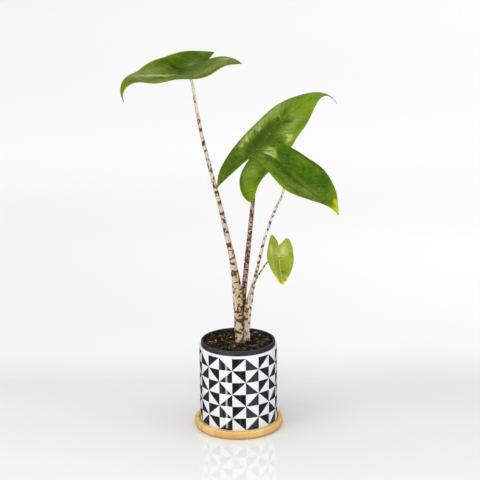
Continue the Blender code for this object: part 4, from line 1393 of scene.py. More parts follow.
def make_pot(mat):
    r_in = POT_RADIUS - POT_WALL
    floor_z = POT_BASE_Z + POT_FLOOR_THICKNESS
    line = [(POT_DRAIN_RADIUS, POT_BASE_Z + 0.6 * MM),
            (POT_DRAIN_RADIUS + 0.6 * MM, POT_BASE_Z),
            (POT_RADIUS - 3.0 * MM, POT_BASE_Z)]
    line += arc(POT_RADIUS - 2.5 * MM, POT_BASE_Z + 2.5 * MM, 2.5 * MM,
                -80, 0, 9)
    for z in np.linspace(POT_BASE_Z + 8 * MM, POT_TOP_Z - 8 * MM, 12):
        line.append((POT_RADIUS, float(z)))
    rim = 1.6 * MM
    line += arc(POT_RADIUS - rim, POT_TOP_Z - rim, rim, 0, 90, 10)
    line += arc(r_in + rim, POT_TOP_Z - rim, rim, 90, 180, 8)
    line += [(r_in, floor_z + 5.0 * MM)]
    line += arc(r_in - 5.0 * MM, floor_z + 5.0 * MM, 5.0 * MM, -10, -90, 7)
    line += [(POT_DRAIN_RADIUS + 0.6 * MM, floor_z),
             (POT_DRAIN_RADIUS, floor_z - 0.6 * MM)]

    def shake(v):
        # A slip-cast wall is true to a few tenths of a millimetre.
        r = np.hypot(v[:, 0], v[:, 1])
        off = noise(v * 22.0, seed=61) * 0.12 * MM
        k = 1 + off / np.maximum(r, 1e-6)
        out = v.copy()
        out[:, 0] *= k
        out[:, 1] *= k
        return out

    obj = turned("pot_glazed", line, mat, 288, 40.0, shake)
    return place(obj, "glazed_ceramic", "outer_pot")


def make_liner(mat):
    mouth, lip = LINER_MOUTH_RADIUS, LINER_LIP_RADIUS
    skirt_z = POT_TOP_Z + GAP
    base_z = LINER_BASE_Z
    points = [(0.0, base_z), (LINER_BASE_RADIUS, base_z),
              (mouth + LINER_WALL, skirt_z - 3.0 * MM),
              (mouth + LINER_WALL, LINER_TOP_Z - 1.6 * MM),
              (lip - LINER_LIP_THICKNESS, LINER_TOP_Z - 1.6 * MM),
              (lip - LINER_LIP_THICKNESS, skirt_z + 0.1 * MM),
              (lip, skirt_z + 0.1 * MM),
              (lip, LINER_TOP_Z),
              (mouth, LINER_TOP_Z),
              (mouth, skirt_z - 3.5 * MM),
              (LINER_BASE_RADIUS - LINER_WALL, base_z + LINER_WALL),
              (0.0, base_z + LINER_WALL)]
    radii = [0, 2.0, 0.5, 0.4, 0.3, 0.2, 0.2, 1.1, 0.9, 1.0, 1.6, 0]
    line = rounded(points, [r * MM for r in radii], 7)
    obj = turned("growing_pot", line, mat, 240, 35.0)
    drains = bmesh.new()
    for k in range(LINER_DRAINS):
        a = 2 * math.pi * (k + 0.5) / LINER_DRAINS
        made = bmesh.ops.create_cone(
            drains, cap_ends=True, segments=32,
            radius1=LINER_DRAIN_RADIUS, radius2=LINER_DRAIN_RADIUS,
            depth=8.0 * MM)
        bmesh.ops.translate(
            drains, verts=made["verts"],
            vec=(LINER_DRAIN_CIRCLE * math.cos(a),
                 LINER_DRAIN_CIRCLE * math.sin(a), LINER_BASE_Z))
    mesh = bpy.data.meshes.new("drain_cutter")
    drains.to_mesh(mesh)
    drains.free()
    cutter = bpy.data.objects.new("drain_cutter", mesh)
    bpy.context.scene.collection.objects.link(cutter)
    cut = obj.modifiers.new("drains", "BOOLEAN")
    cut.operation, cut.solver, cut.object = "DIFFERENCE", "EXACT", cutter
    applied(obj)
    bpy.data.objects.remove(cutter, do_unlink=True)
    return place(obj, "black_plastic", "nursery_pot")


def applied(obj):
    """Makes an object's evaluated mesh its own."""
    dg = bpy.context.evaluated_depsgraph_get()
    made = bpy.data.meshes.new_from_object(obj.evaluated_get(dg),
                                           depsgraph=dg)
    obj.modifiers.clear()
    obj.data = made
    return obj


# ----------------------------------------------------------------------- soil
def soil_height(x, y):
    """Height of the potting mix under a point."""
    r = np.hypot(x, y)
    f = 1 - r / LINER_MOUTH_RADIUS
    z = SOIL_EDGE_Z + SOIL_CROWN * eased(f, 0.1, 0.85)
    # The mix is heaped a little against the back of the rim.
    z = z + 3.8 * MM * eased(y / LINER_MOUTH_RADIUS, 0.20, 0.95)
    z = z + 1.2 * MM * eased(r / LINER_MOUTH_RADIUS, 0.75, 0.98) \
        * eased(y / LINER_MOUTH_RADIUS, -0.5, 0.2)
    p = np.stack([x, y, 0 * x], -1)
    z = z + rough(p * 110.0, 3, seed=40) * 1.25 * MM
    lumps = np.abs(noise(p * 330.0, seed=44))
    z = z + (0.5 - lumps) * 1.3 * MM + noise(p * 800.0, seed=45) * 0.35 * MM
    near = np.hypot(x - STEM_CENTRE[0], y - STEM_CENTRE[1])
    return z + 1.1 * MM * bell(near - 15 * MM, 6 * MM)


def make_soil(mat):
    reach = LINER_MOUTH_RADIUS - GAP
    rings, spokes = 118, 300
    rr = reach * (1 - (np.arange(rings) / rings)) ** 0.92
    aa = 2 * math.pi * np.arange(spokes) / spokes
    x = rr[:, None] * np.cos(aa)
    y = rr[:, None] * np.sin(aa)
    z = soil_height(x, y)
    z[0] = SOIL_EDGE_Z - 1.2 * MM
    verts = list(np.stack([x, y, z], -1).reshape(-1, 3))
    centre = len(verts)
    verts.append(np.array([0, 0, float(soil_height(np.array([0.0]),
                                                   np.array([0.0]))[0])]))
    faces = []
    for i in range(rings - 1):
        for k in range(spokes):
            m = (k + 1) % spokes
            faces.append((i * spokes + k, i * spokes + m,
                          (i + 1) * spokes + m, (i + 1) * spokes + k))
    top = (rings - 1) * spokes
    for k in range(spokes):
        faces.append((top + k, top + (k + 1) % spokes, centre))
    wall = [(reach, POT_TOP_Z - 3.0 * MM),
            (LINER_BASE_RADIUS - LINER_WALL - GAP, LINER_BASE_Z + 3.4 * MM),
            (LINER_BASE_RADIUS - 3.2 * MM, SOIL_BOTTOM_Z)]
    above = list(range(spokes))
    for r, zz in wall:
        start = len(verts)
        for a in aa:
            verts.append(np.array([r * math.cos(a), r * math.sin(a), zz]))
        ring = list(range(start, start + spokes))
        for k in range(spokes):
            m = (k + 1) % spokes
            faces.append((ring[k], ring[m], above[m], above[k]))
        above = ring
    faces.append(tuple(reversed(above)))
    obj = mesh_object("potting_mix_bed", np.array(verts), faces, mat, None)
    return place(outward(obj), "potting_mix", "soil")


def lump(seed, size, flat, long, rows=4, spokes=7, sharp=0.22):
    """An irregular chip round the origin: points and faces."""
    rng = np.random.default_rng(seed)
    verts = [(0, 0, -1.0)]
    for i in range(1, rows):
        lat = math.pi * i / rows - math.pi / 2
        for k in range(spokes):
            a = 2 * math.pi * (k + 0.5 * (i % 2)) / spokes
            verts.append((math.cos(lat) * math.cos(a),
                          math.cos(lat) * math.sin(a), math.sin(lat)))
    verts.append((0, 0, 1.0))
    verts = np.array(verts, float)
    verts *= 1 + rng.uniform(-sharp, sharp, (len(verts), 1))
    verts *= np.array([long, 1.0, flat]) * size
    faces = []
    for k in range(spokes):
        m = (k + 1) % spokes
        faces.append((0, 1 + m, 1 + k))
        for i in range(rows - 2):
            a, b = 1 + i * spokes, 1 + (i + 1) * spokes
            faces.append((a + k, a + m, b + m, b + k))
        a = 1 + (rows - 2) * spokes
        faces.append((a + k, a + m, len(verts) - 1))
    return verts, faces


def turned_about(verts, rng, tilt=0.5):
    a, b, c = rng.uniform(0, 2 * math.pi), rng.uniform(-tilt, tilt), \
        rng.uniform(-tilt, tilt)
    m = (Matrix.Rotation(a, 3, "Z") @ Matrix.Rotation(b, 3, "X")
         @ Matrix.Rotation(c, 3, "Y"))
    return verts @ np.array(m).T


def free_of_stems(x, y, margin):
    for key in PETIOLES:
        cx, cy, a, b = (float(q) for q in ellipse_at(key, 0.147))
        if math.hypot((x - cx) / (a + margin), (y - cy) / (b + margin)) < 1:
            return False
    return True


def scatter(name, mat, count, seed, size, flat, long, sink, shape,
            at=(), smooth=None, tilt=0.5):
    """Chips lying on the mix: at gives chosen ones (x, y, half-size, length
    ratio, turn in degrees, height ratio) in millimetres, count adds more."""
    rng = np.random.default_rng(seed)
    verts, faces, tone = [], [], []
    placed = [(x * MM, y * MM, r * MM, ln, t, h) for x, y, r, ln, t, h in at]
    tries = 0
    while len(placed) < count + len(at) and tries < 40 * count:
        tries += 1
        r = (LINER_MOUTH_RADIUS - 2.5 * MM) * math.sqrt(rng.uniform(0, 1))
        a = rng.uniform(0, 2 * math.pi)
        x, y = r * math.cos(a), r * math.sin(a)
        half = rng.uniform(*size) * MM
        if not free_of_stems(x, y, half * 0.7):
            continue
        if r + half * 1.2 > LINER_MOUTH_RADIUS - 0.4 * MM:
            continue
        placed.append((x, y, half, rng.uniform(*long), None, None))
    for n, (x, y, half, ln, t, h) in enumerate(placed):
        rows, spokes, sharp = shape
        v, f = lump(seed * 1000 + n, half,
                    h if h is not None else rng.uniform(*flat), ln,
                    rows, spokes, sharp)
        if t is None:
            v = turned_about(v, rng, tilt)
        else:
            v = v @ np.array(Matrix.Rotation(math.radians(t), 3, "Z")
                             @ Matrix.Rotation(rng.uniform(-.25, .25), 3,
                                               "X")).T
        z = float(soil_height(np.array([x]), np.array([y]))[0])
        low, high = v[:, 2].min(), v[:, 2].max()
        v = v + [x, y, z - low - (high - low) * sink]
        base = len(verts)
        verts.extend(v.tolist())
        faces.extend([tuple(i + base for i in q) for q in f])
        tone.extend([float(rng.uniform(0, 1))] * len(v))
    obj = mesh_object(name, np.array(verts), faces, mat, smooth,
                      dict(tone=tone))
    return place(outward(obj), "potting_mix")


def make_fibres(mat):
    """Thin dry roots and moss strands lying on the mix."""
    rng = np.random.default_rng(77)
    verts, faces, tone = [], [], []
    strands = [((-46, 24), 18, 0.32, 60), ((14, 25), 16, 0.30, 100),
               ((27, 8), 13, 0.25, -40), ((-26, -22), 16, 0.28, 10),
               ((38, 22), 13, 0.26, 150), ((-12, -44), 14, 0.25, -20)]
    for k in range(26):
        a = rng.uniform(0, 2 * math.pi)
        r = 48 * math.sqrt(rng.uniform(0.05, 1))
        strands.append(((r * math.cos(a), r * math.sin(a)),
                        rng.uniform(6, 14), rng.uniform(0.14, 0.28),
                        rng.uniform(0, 360)))
    for (x, y), length, thick, heading in strands:
        steps = 16
        heading = math.radians(heading)
        bend = rng.uniform(-0.16, 0.16)
        px, py = x * MM, y * MM
        pts = []
        for i in range(steps + 1):
            if math.hypot(px, py) > LINER_MOUTH_RADIUS - 2.5 * MM:
                break
            z = float(soil_height(np.array([px]), np.array([py]))[0])
            lift = 1.6 * MM * math.sin(math.pi * i / steps)
            pts.append((px, py, z + lift))
            heading += bend + rng.uniform(-0.05, 0.05)
            px += length * MM / steps * math.cos(heading)
            py += length * MM / steps * math.sin(heading)
        if len(pts) < 5:
            continue
        pts = np.array(pts)
        z = pts[:, 2].copy()
        for i in range(1, len(z) - 1):
            z[i] = (pts[i - 1, 2] + pts[i, 2] + pts[i + 1, 2]) / 3
        pts[:, 2] = z + 0.2 * MM
        tan = np.gradient(pts, axis=0)
        tan /= np.linalg.norm(tan, axis=1, keepdims=True)
        side = np.cross(tan, [0, 0, 1.0])
        side /= np.linalg.norm(side, axis=1, keepdims=True)
        top = np.cross(side, tan)
        base = len(verts)
        n = len(pts)
        for i in range(n):
            r = thick * MM * (1 - 0.6 * abs(2 * i / (n - 1) - 1))
            for q in range(5):
                a = 2 * math.pi * q / 5
                verts.append((pts[i] + side[i] * r * math.cos(a)
                              + top[i] * r * math.sin(a)).tolist())
        for i in range(n - 1):
            for q in range(5):
                m = (q + 1) % 5
                faces.append((base + i * 5 + q, base + i * 5 + m,
                              base + (i + 1) * 5 + m, base + (i + 1) * 5 + q))
        faces.append(tuple(base + q for q in range(4, -1, -1)))
        faces.append(tuple(base + (n - 1) * 5 + q for q in range(5)))
        tone.extend([float(rng.uniform(0, 1))] * (5 * n))
    obj = mesh_object("dry_fibres", np.array(verts), faces, mat, None,
                      dict(tone=tone))
    return place(outward(obj), "potting_mix")


# ---------------------------------------------------------------------- build
def build_pots():
    make_saucer(bamboo_look())
    make_pot(glaze_look())
    make_liner(plastic_look())
    soil = soil_look()
    make_soil(soil)
    dark = bark_look("bark_dark", (0.003, 0.0025, 0.002), (0.106, 0.055, 0.017),
                     mossy=(0.085, 0.078, 0.022))
    warm = bark_look("bark_warm", (0.17, 0.070, 0.022), (0.56, 0.34, 0.16))
    scatter("mix_crumbs", dark, 1400, 3, (0.5, 1.4), (0.5, 1.0), (0.9, 1.6),
            0.40, (3, 5, 0.30))
    scatter("bark_chips_dark", dark, 210, 4, (1.4, 3.6), (0.40, 0.9),
            (1.1, 2.2), 0.38, (4, 7, 0.28))
    scatter("bark_chips_warm", warm, 40, 5, (0.8, 2.3), (0.3, 0.7),
            (1.1, 2.2), 0.30, (4, 7, 0.26),
            at=((-46, 2, 3.2, 1.5, 20, 0.42), (-50, -8, 2.2, 1.6, 80, 0.4),
                (24, -22, 2.8, 2.1, 25, 0.35), (31, -18, 2.0, 1.8, -30, 0.4),
                (-28, -42, 2.0, 1.8, 60, 0.4)))
    scatter("perlite_grains", perlite_look(), 8, 6, (0.40, 0.8), (0.7, 1.0),
            (0.9, 1.3), 0.35, (4, 8, 0.14),
            at=((-6, -20, 1.5, 1.1, 0, 0.9), (31, 12, 1.4, 1.2, 0, 0.9),
                (38, 31, 1.7, 1.1, 0, 0.9), (39, -11, 1.3, 1.1, 0, 0.9)),
            smooth=50.0)
    make_fibres(bark_look("dry_fibre", (0.16, 0.11, 0.06),
                          (0.40, 0.31, 0.19)))
    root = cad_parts["rhizome"]
    look = rhizome_look()
    for slot_made in root.material_slots:
        slot_made.material = look
    if not root.material_slots:
        root.data.materials.append(look)


# The dark marks of each stalk, as marked() reads them.
TALL_MARKS = (
    (6, -90, 120, 3.0, 0.60), (13, -150, 40, 2.6, 0.80), (15, -40, 35, 2.2, 0.75),
    (24, -125, 50, 2.8, 0.90), (29, -60, 35, 2.2, 0.70), (34, 178, 34, 3.0, 0.75),
    (47, -112, 66, 2.6, 1.00), (44, -62, 34, 2.4, 0.85), (40, -158, 26, 2.4, 0.75),
    (57, 176, 34, 3.4, 0.75), (66, -162, 34, 4.2, 0.95), (73, 176, 40, 3.4, 0.90),
    (84, -156, 26, 3.6, 0.65), (105, 172, 42, 3.4, 1.00), (96, -128, 24, 2.6, 0.60),
    (129, -128, 56, 2.8, 1.00), (134, -72, 40, 2.2, 0.85), (147, -118, 78, 2.0, 0.90),
    (156, -88, 56, 1.6, 0.75), (173, -100, 60, 1.6, 0.75), (165, -34, 24, 6.0, 0.75),
    (165, -150, 18, 5.0, 0.60), (180, -112, 66, 3.0, 1.00), (205, -120, 68, 3.6, 1.00),
    (199, -62, 34, 2.0, 0.70), (216, -150, 30, 3.0, 0.50), (226, -34, 30, 2.4, 0.60),
    (235, -90, 100, 2.0, 1.15), (252, -60, 50, 3.6, 0.90), (259, -150, 36, 2.6, 0.80),
    (266, -120, 40, 2.0, 0.70), (273, -82, 80, 2.6, 1.00), (284, -92, 60, 2.0, 0.80),
    (291, -150, 44, 2.0, 0.70), (298, -60, 40, 2.6, 0.70), (310, -50, 46, 3.2, 0.95),
    (318, -140, 44, 3.6, 0.90), (330, -158, 44, 2.6, 0.80), (343, -72, 60, 3.2, 0.95),
    (350, -150, 40, 2.0, 0.65), (357, -90, 90, 2.3, 1.10), (366, -52, 36, 2.0, 0.50),
    (378, -90, 80, 2.1, 0.80), (388, -150, 40, 2.0, 0.50), (395, -90, 80, 2.4, 0.70),
    (404, -100, 60, 1.8, 0.60), (414, -90, 80, 1.8, 0.62), (425, -70, 60, 1.8, 0.55),
    (434, -120, 50, 1.6, 0.48), (443, -70, 50, 1.6, 0.46), (452, -110, 60, 1.6, 0.44),
)
RIGHT_MARKS = (
    (12, -60, 60, 2.6, 0.75), (22, -92, 50, 2.0, 0.62), (31, -22, 44, 2.8, 0.95),
    (38, -142, 44, 1.8, 0.62), (50, -90, 60, 2.0, 0.85), (62, -104, 34, 1.8, 0.65),
    (71, -24, 42, 3.6, 0.95), (86, -168, 40, 2.2, 0.62), (101, -62, 50, 2.6, 0.90),
    (110, -102, 34, 3.6, 0.90), (118, -72, 36, 3.6, 0.90), (128, -110, 60, 2.5, 1.00),
    (137, -100, 56, 2.2, 0.90), (147, -80, 50, 1.9, 0.85), (154, -110, 66, 2.1, 0.92),
    (164, -90, 78, 2.3, 1.02), (174, -150, 30, 1.6, 0.55), (183, -100, 78, 2.4, 1.02),
    (199, -118, 56, 1.7, 0.70), (204, -60, 56, 1.7, 0.72), (218, -90, 74, 2.3, 1.00),
    (230, -90, 70, 2.2, 1.00), (243, -80, 70, 2.0, 0.85), (252, -110, 60, 1.8, 0.75),
    (261, -80, 60, 1.6, 0.60), (270, -100, 60, 1.6, 0.62), (279, -90, 60, 1.6, 0.55),
    (288, -90, 60, 1.6, 0.52),
)
SMALL_MARKS = (
    (12, -80, 60, 2.4, 0.70), (26, -40, 50, 2.4, 0.80), (41, -100, 60, 2.2, 0.75),
    (56, -60, 60, 2.6, 0.85), (70, -110, 60, 2.2, 0.75), (84, -60, 60, 3.0, 0.90),
    (96, -100, 70, 2.4, 0.80), (108, -70, 70, 3.0, 0.95), (118, -100, 80, 2.4, 0.90),
    (127, -80, 90, 2.2, 0.95), (135, -100, 80, 2.0, 0.80), (141, -80, 100, 1.6, 0.95),
    (148, -90, 100, 1.5, 0.95), (155, -90, 100, 1.4, 0.85), (161, -90, 100, 1.3, 0.75),
)


def build_stalks():
    zebra = petiole_look("zebra_stalk", (0.68, 0.60, 0.45),
                         (0.53, 0.415, 0.315), (0.47, 0.38, 0.20),
                         (0.052, 0.024, 0.006), streaks=0.60)
    cream = petiole_look("cream_stalk", (0.76, 0.71, 0.59),
                         (0.50, 0.405, 0.31), (0.42, 0.34, 0.19),
                         (0.078, 0.036, 0.018), streaks=0.50)
    purple = petiole_look("purple_stalk", (0.40, 0.225, 0.185),
                          (0.54, 0.360, 0.285), (0.30, 0.22, 0.095),
                          (0.056, 0.018, 0.018), soft=0.12, streaks=0.40)
    tan = petiole_look("tan_stalk", (0.50, 0.40, 0.24), (0.58, 0.48, 0.40),
                       (0.46, 0.44, 0.16), (0.11, 0.055, 0.022))

    def foot(ring):
        return 1 - eased(ring[..., 2], 0.1475, 0.1560)

    def tall(ring, where, ang):
        # The side that faces its neighbours, between the swollen foot and the narrow
        # upper stalk, is olive and densely flecked: an olive tint together with
        # painted shade where the stalks crowd together.
        run = where / MM
        side = eased(np.cos(ang + 0.75) + 0.35 * noise(ring * 90.0, 149),
                     -0.10, 0.75)
        olive = side * (1 - eased(run, 118, 160)) \
            * (0.62 + 0.38 * eased(run, 40, 58))
        flecks = eased(specked(ring, 2.7, 151, 1.2), 0.36, 0.64)
        low = 1 - eased(run, 48, 80)
        dark = np.maximum(marked(ring, where, ang, TALL_MARKS, 101, 1.6,
                                 1.12 + 0.10 * low),
                          olive * (0.10 + 0.50 * flecks))
        sparse = eased(specked(ring, 4.2, 155, 1.1), 0.60, 0.84)
        top = eased(run, 395, 440)
        dark = np.maximum(dark * (1 - 0.14 * top),
                          sparse * (0.74 + 0.10 * low - 0.16 * top))
        return dict(dark=dark, rosy=0.80 * (1 - eased(run, 385, 440)),
                    green=0.72 * olive, foot=foot(ring))

    def right(ring, where, ang):
        run = where / MM
        low = 1 - eased(run, 50, 100)
        dark = marked(ring, where, ang, RIGHT_MARKS, 111, 1.0, 1.22)
        sparse = eased(specked(ring, 3.8, 165, 1.2), 0.58 - 0.06 * low, 0.80)
        dark = np.maximum(dark, (0.52 + 0.26 * low) * sparse)
        fine = eased(specked(ring, 1.8, 167, 1.4), 0.40, 0.75)
        dark = np.maximum(dark, 0.62 * fine * eased(run, 215, 260))
        flecks = eased(specked(ring, 2.4, 169, 1.2), 0.36, 0.64)
        # Painted shade: low down, the left side is painted olive and flecked dark.
        left = eased(-np.cos(ang) + 0.30 * noise(ring * 110.0, 173), -0.30, 0.60)
        shaded = left * (1 - eased(run, 74, 122))
        dark = np.maximum(dark, shaded * (0.10 + 0.50 * flecks))
        # Painted shade higher up: the left side is painted rosier and darker, the right side paler.
        high = eased(run, 215, 260)
        return dict(dark=dark * (1 - 0.25 * eased(run, 270, 300)),
                    rosy=0.62 + 0.30 * (1 - eased(run, 96, 140))
                    + high * (0.26 * left - 0.75 * (1 - left)),
                    green=0.8 * shaded, foot=foot(ring))

    def middle(ring, where, ang):
        # Dark ground; short pale flecks lie across it, denser higher up.
        run = where / MM
        flecks = eased(specked(ring, 3.0, 171, 0.66), 0.34, 0.64)
        wide = specked(ring, 9.0, 175, 0.8)
        band = 0.5 + 0.5 * np.cos(2 * math.pi * (run / 11.0 + 0.4 * wide))
        dark = (0.76 - 0.62 * flecks + 0.16 * band
                - 0.04 * eased(run, 130, 190)
                + 0.20 * (1 - eased(run, 70, 125)))
        return dict(dark=dark, rosy=eased(specked(ring, 6.0, 179), 0.35, 0.7),
                    green=0.75 * (1 - eased(run, 66, 130)), foot=foot(ring))

    def small(ring, where, ang):
        run = where / MM
        return dict(dark=marked(ring, where, ang, SMALL_MARKS, 131, 0.7, 1.35),
                    rosy=1 - eased(run, 110, 130),
                    green=eased(run, 128, 142), foot=foot(ring))

    place(petiole("stalk_tall", "tall", zebra, 44, 1.0 * MM, tall),
          "zebra_stalk", "petiole_tall")
    place(petiole("stalk_right", "right", cream, 36, 1.0 * MM, right,
                  (("tall", 0.300),)), "zebra_stalk", "petiole_right")
    place(petiole("stalk_middle", "middle", purple, 30, 1.0 * MM, middle,
                  (("tall", 0.300), ("right", 0.300))),
          "purple_stalk", "petiole_middle")
    place(petiole("stalk_small", "small", tan, 24, 0.8 * MM, small,
                  (("right", 0.262),)), "zebra_stalk", "petiole_small")


def build_blades():
    # Colours of each blade, in order: deep green, mid green, painted sheen, veins, painted light, yellowing, brown tip,
    # underside.
    dark = leaf_look("leaf_tall_skin", (0.042, 0.086, 0.000),
                     (0.107, 0.172, 0.000), (0.210, 0.238, 0.080),
                     (0.160, 0.215, 0.030), (0.170, 0.246, 0.000),
                     (0.200, 0.290, 0.004), (0.17, 0.22, 0.03),
                     (0.13, 0.19, 0.04))
    broad = leaf_look("leaf_middle_skin", (0.050, 0.114, 0.000),
                      (0.111, 0.201, 0.000), (0.216, 0.290, 0.042),
                      (0.150, 0.260, 0.025), (0.150, 0.258, 0.000),
                      (0.220, 0.300, 0.010), (0.16, 0.20, 0.03),
                      (0.14, 0.22, 0.03), pleats=0.7, mottled=0.45)
    deep = leaf_look("leaf_right_skin", (0.034, 0.090, 0.000),
                     (0.081, 0.165, 0.000), (0.142, 0.192, 0.012),
                     (0.115, 0.190, 0.020), (0.135, 0.208, 0.000),
                     (0.470, 0.410, 0.007), (0.24, 0.11, 0.04),
                     (0.13, 0.20, 0.03), veined=0.26, pleats=0.4,
                     mottled=0.60)
    young = leaf_look("leaf_small_skin", (0.242, 0.306, 0.016),
                      (0.350, 0.405, 0.040), (0.510, 0.530, 0.185),
                      (0.540, 0.590, 0.130), (0.270, 0.380, 0.010),
                      (0.720, 0.480, 0.060), (0.66, 0.40, 0.18),
                      (0.36, 0.44, 0.07), veined=0.20, pleats=0.12,
                      glow_width=1.3)

    place(blade("blade_tall", "tall", dark, 30, 12),
          "leaf_green", "leaf_tall")
    place(blade("blade_middle", "middle", broad, 34, 14),
          "leaf_green", "leaf_middle")
    place(blade("blade_right", "right", deep, 30, 12),
          "leaf_green", "leaf_right")
    place(blade("blade_small", "small", young, 20, 8),
          "leaf_lime", "leaf_small")


# ---------------------------------------------------------------------- stage
def make_stage():
    look = Look("floor_white", 0.10, Specular_IOR_Level=0.5)
    here = look.place()
    x, y, z = look.xyz(here)
    # How far out a point lies: straight back, or round the front half.
    before = look.math("MINIMUM", y, 0.0)
    round_front = look.math("SQRT", look.add(look.mul(x, x),
                                             look.mul(before, before)))
    out = look.math("MAXIMUM", y, look.mul(look.sub(round_front, 0.36), 0.45))
    back = look.step(out, 0.10, 0.42)
    # Painted light and shade: the floor is painted darker near the object and brighter further out.
    tone = look.mix(back, (0.752, 0.752, 0.746), (0.785, 0.785, 0.788))
    for near, far, shade in ((0.45, 1.2, 0.855), (1.2, 2.4, 0.955),
                             (2.4, 6.0, 0.990)):
        tone = look.mix(look.step(out, near, far), tone,
                        (shade, shade, min(1.0, shade + 0.003)))
    # Painted light: a little lighter towards the right.
    painted_light_slope = look.blend(look.step(y, 0.05, 0.35), 1.0,
                       look.remap(x, -0.50, 0.50, 0.945, 1.055))
    painted_light_slope = look.blend(look.step(y, 0.9, 2.0), painted_light_slope,
                       look.remap(x, -1.3, 1.3, 0.965, 1.025))
    tone = look.mix(1.0, tone, look.vector(painted_light_slope, painted_light_slope, painted_light_slope), "MULTIPLY")
    look.colour(tone)
    look.roughness(look.blend(back, 0.07, 0.9))
    verts = [(-14, -14, 0), (14, -14, 0), (14, 14, 0), (-14, 14, 0)]
    floor = mesh_object("floor", np.array(verts, float), [(0, 1, 2, 3)],
                        look.mat)
    floor.visible_glossy = False
    return floor


def soft_light(name, place_at, aim, width, height, power, colour=(1, 1, 1)):
    data = bpy.data.lights.new(name, "AREA")
    data.shape = "RECTANGLE"
    data.size, data.size_y = width, height
    data.energy = power
    data.color = colour
    obj = bpy.data.objects.new(name, data)
    bpy.context.scene.collection.objects.link(obj)
    obj.location = place_at
    way = Vector(aim) - Vector(place_at)
    obj.rotation_euler = way.to_track_quat("-Z", "Y").to_euler()
    return obj


class Sky:
    """The studio round the object. Diffuse light comes evenly from all sides;
    what glossy surfaces mirror is a dim room with lit panels, placed by compass
    direction (degrees from the front towards the right) and by height."""

    def __init__(self, even):
        world = bpy.data.worlds.new("studio")
        world.use_nodes = True
        bpy.context.scene.world = world
        self.tree = world.node_tree
        self.even = even
        coords = self.tree.nodes.new("ShaderNodeTexCoord")
        split = self.tree.nodes.new("ShaderNodeSeparateXYZ")
        self.tree.links.new(coords.outputs["Generated"], split.inputs[0])
        self.x, self.y, self.z = split.outputs
        front = self.math("MULTIPLY", self.y, -1.0)
        self.compass = self.math("MULTIPLY",
                                 self.math("ARCTAN2", self.x, front),
                                 180.0 / math.pi)
        self.total = None

    def math(self, op, a, b):
        made = self.tree.nodes.new("ShaderNodeMath")
        made.operation = op
        for socket, value in zip(made.inputs, (a, b)):
            if isinstance(value, bpy.types.NodeSocket):
                self.tree.links.new(value, socket)
            else:
                socket.default_value = value
        return made.outputs[0]

    def step(self, x, a, b, low=0.0, high=1.0):
        made = self.tree.nodes.new("ShaderNodeMapRange")
        made.interpolation_type = "SMOOTHSTEP"
        self.tree.links.new(x, made.inputs["Value"])
        for key, value in (("From Min", a), ("From Max", b),
                           ("To Min", low), ("To Max", high)):
            made.inputs[key].default_value = value
        return made.outputs["Result"]

    def between(self, x, a, b, soft):
        return self.math("MULTIPLY", self.step(x, a - soft, a + soft),
                         self.step(x, b - soft, b + soft, 1.0, 0.0))

    def panel(self, strength, *masks):
        value = strength
        for mask in masks:
            value = self.math("MULTIPLY", mask, value)
        self.total = value if self.total is None \
            else self.math("ADD", self.total, value)

    def finish(self, left, right):
        """left and right tint what glossy surfaces mirror on either side."""
        sky = self.tree.nodes["Background"]
        path = self.tree.nodes.new("ShaderNodeLightPath")
        pick = self.tree.nodes.new("ShaderNodeMix")
        pick.data_type = "FLOAT"
        self.tree.links.new(path.outputs["Is Glossy Ray"], pick.inputs[0])
        pick.inputs[2].default_value = self.even
        self.tree.links.new(self.total, pick.inputs[3])
        self.tree.links.new(pick.outputs[0], sky.inputs["Strength"])
        tint = self.tree.nodes.new("ShaderNodeMix")
        tint.data_type = "RGBA"
        self.tree.links.new(self.step(self.compass, -12.0, 22.0),
                            tint.inputs[0])
        tint.inputs[6].default_value = (*left, 1.0)
        tint.inputs[7].default_value = (*right, 1.0)
        colour = self.tree.nodes.new("ShaderNodeMix")
        colour.data_type = "RGBA"
        self.tree.links.new(path.outputs["Is Glossy Ray"], colour.inputs[0])
        colour.inputs[6].default_value = (1.0, 1.0, 1.0, 1.0)
        self.tree.links.new(tint.outputs[2], colour.inputs[7])
        self.tree.links.new(colour.outputs[2], sky.inputs["Color"])


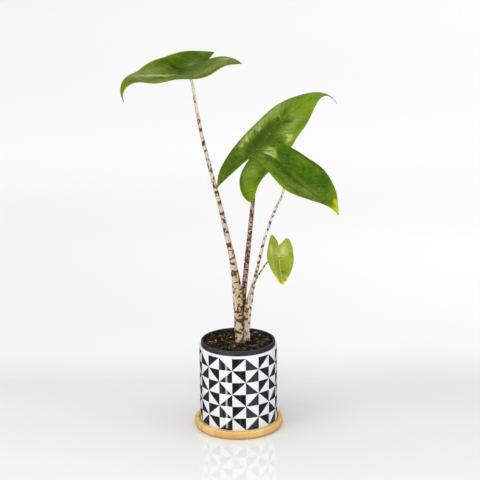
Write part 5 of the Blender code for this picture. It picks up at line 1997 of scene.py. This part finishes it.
def make_light():
    sky = Sky(1.0)
    low = sky.step(sky.z, -0.02, 0.12, 1.0, 0.0)
    high = sky.step(sky.z, -0.02, 0.12)
    # Low down: what the upright wall of the pot mirrors.
    sky.panel(0.02, low)
    sky.panel(0.28, low, sky.step(sky.y, 0.30, 0.75, 1.0, 0.0))
    sky.panel(-0.16, low, sky.between(sky.compass, -20.0, 20.0, 2.5))
    sky.panel(0.70, low, sky.between(sky.compass, 21.0, 58.0, 3.0))
    sky.panel(1.6, low, sky.between(sky.compass, 3.0, 5.5, 0.8))
    sky.panel(13.0, low, sky.between(sky.compass, -39.0, -33.5, 1.4))
    sky.panel(1.4, low, sky.between(sky.compass, -54.0, -50.5, 1.2))
    # Higher up: a dim room, with a soft panel behind and above.
    sky.panel(0.03, high)
    sky.panel(0.25, sky.step(sky.z, 0.22, 0.45), sky.step(sky.y, 0.15, 0.60))
    sky.finish((1.0, 1.0, 0.96), (0.84, 0.92, 1.14))
    soft_light("key", (-1.3, -0.9, 2.0), (0, 0, 0.35), 1.1, 1.1, 14.0)
    soft_light("fill", (1.5, -0.5, 1.6), (0, 0, 0.3), 1.0, 1.0, 6.0)
    front = soft_light("front", (-0.2, -2.2, 0.75), (0, 0, 0.15), 1.2, 0.8,
                       14.0)
    front.visible_glossy = False


def make_camera():
    data = bpy.data.cameras.new("camera")
    data.sensor_width = 36.0
    data.lens = CAMERA_LENS
    data.clip_start, data.clip_end = 0.05, 60.0
    obj = bpy.data.objects.new("camera", data)
    bpy.context.scene.collection.objects.link(obj)
    pitch, roll, yaw = (math.radians(a) for a in
                        (CAMERA_PITCH, CAMERA_ROLL, CAMERA_YAW))
    right = np.array([math.cos(yaw), math.sin(yaw), 0.0])
    level = np.array([-math.sin(yaw), math.cos(yaw), 0.0])
    ahead = math.cos(pitch) * level + np.array([0, 0, -math.sin(pitch)])
    up = math.sin(pitch) * level + np.array([0, 0, math.cos(pitch)])
    x = right * math.cos(roll) + up * math.sin(roll)
    y = -right * math.sin(roll) + up * math.cos(roll)
    m = Matrix([[x[k], y[k], -ahead[k], CAMERA_PLACE[k]] for k in range(3)]
               + [[0, 0, 0, 1]])
    obj.matrix_world = m
    bpy.context.scene.camera = obj
    return obj


def main():
    scene = bpy.context.scene
    scene.view_settings.view_transform = "Standard"
    scene.view_settings.look = "None"
    build_pots()
    build_stalks()
    build_blades()
    make_stage()
    make_light()
    make_camera()
    bpy.context.view_layer.update()


main()
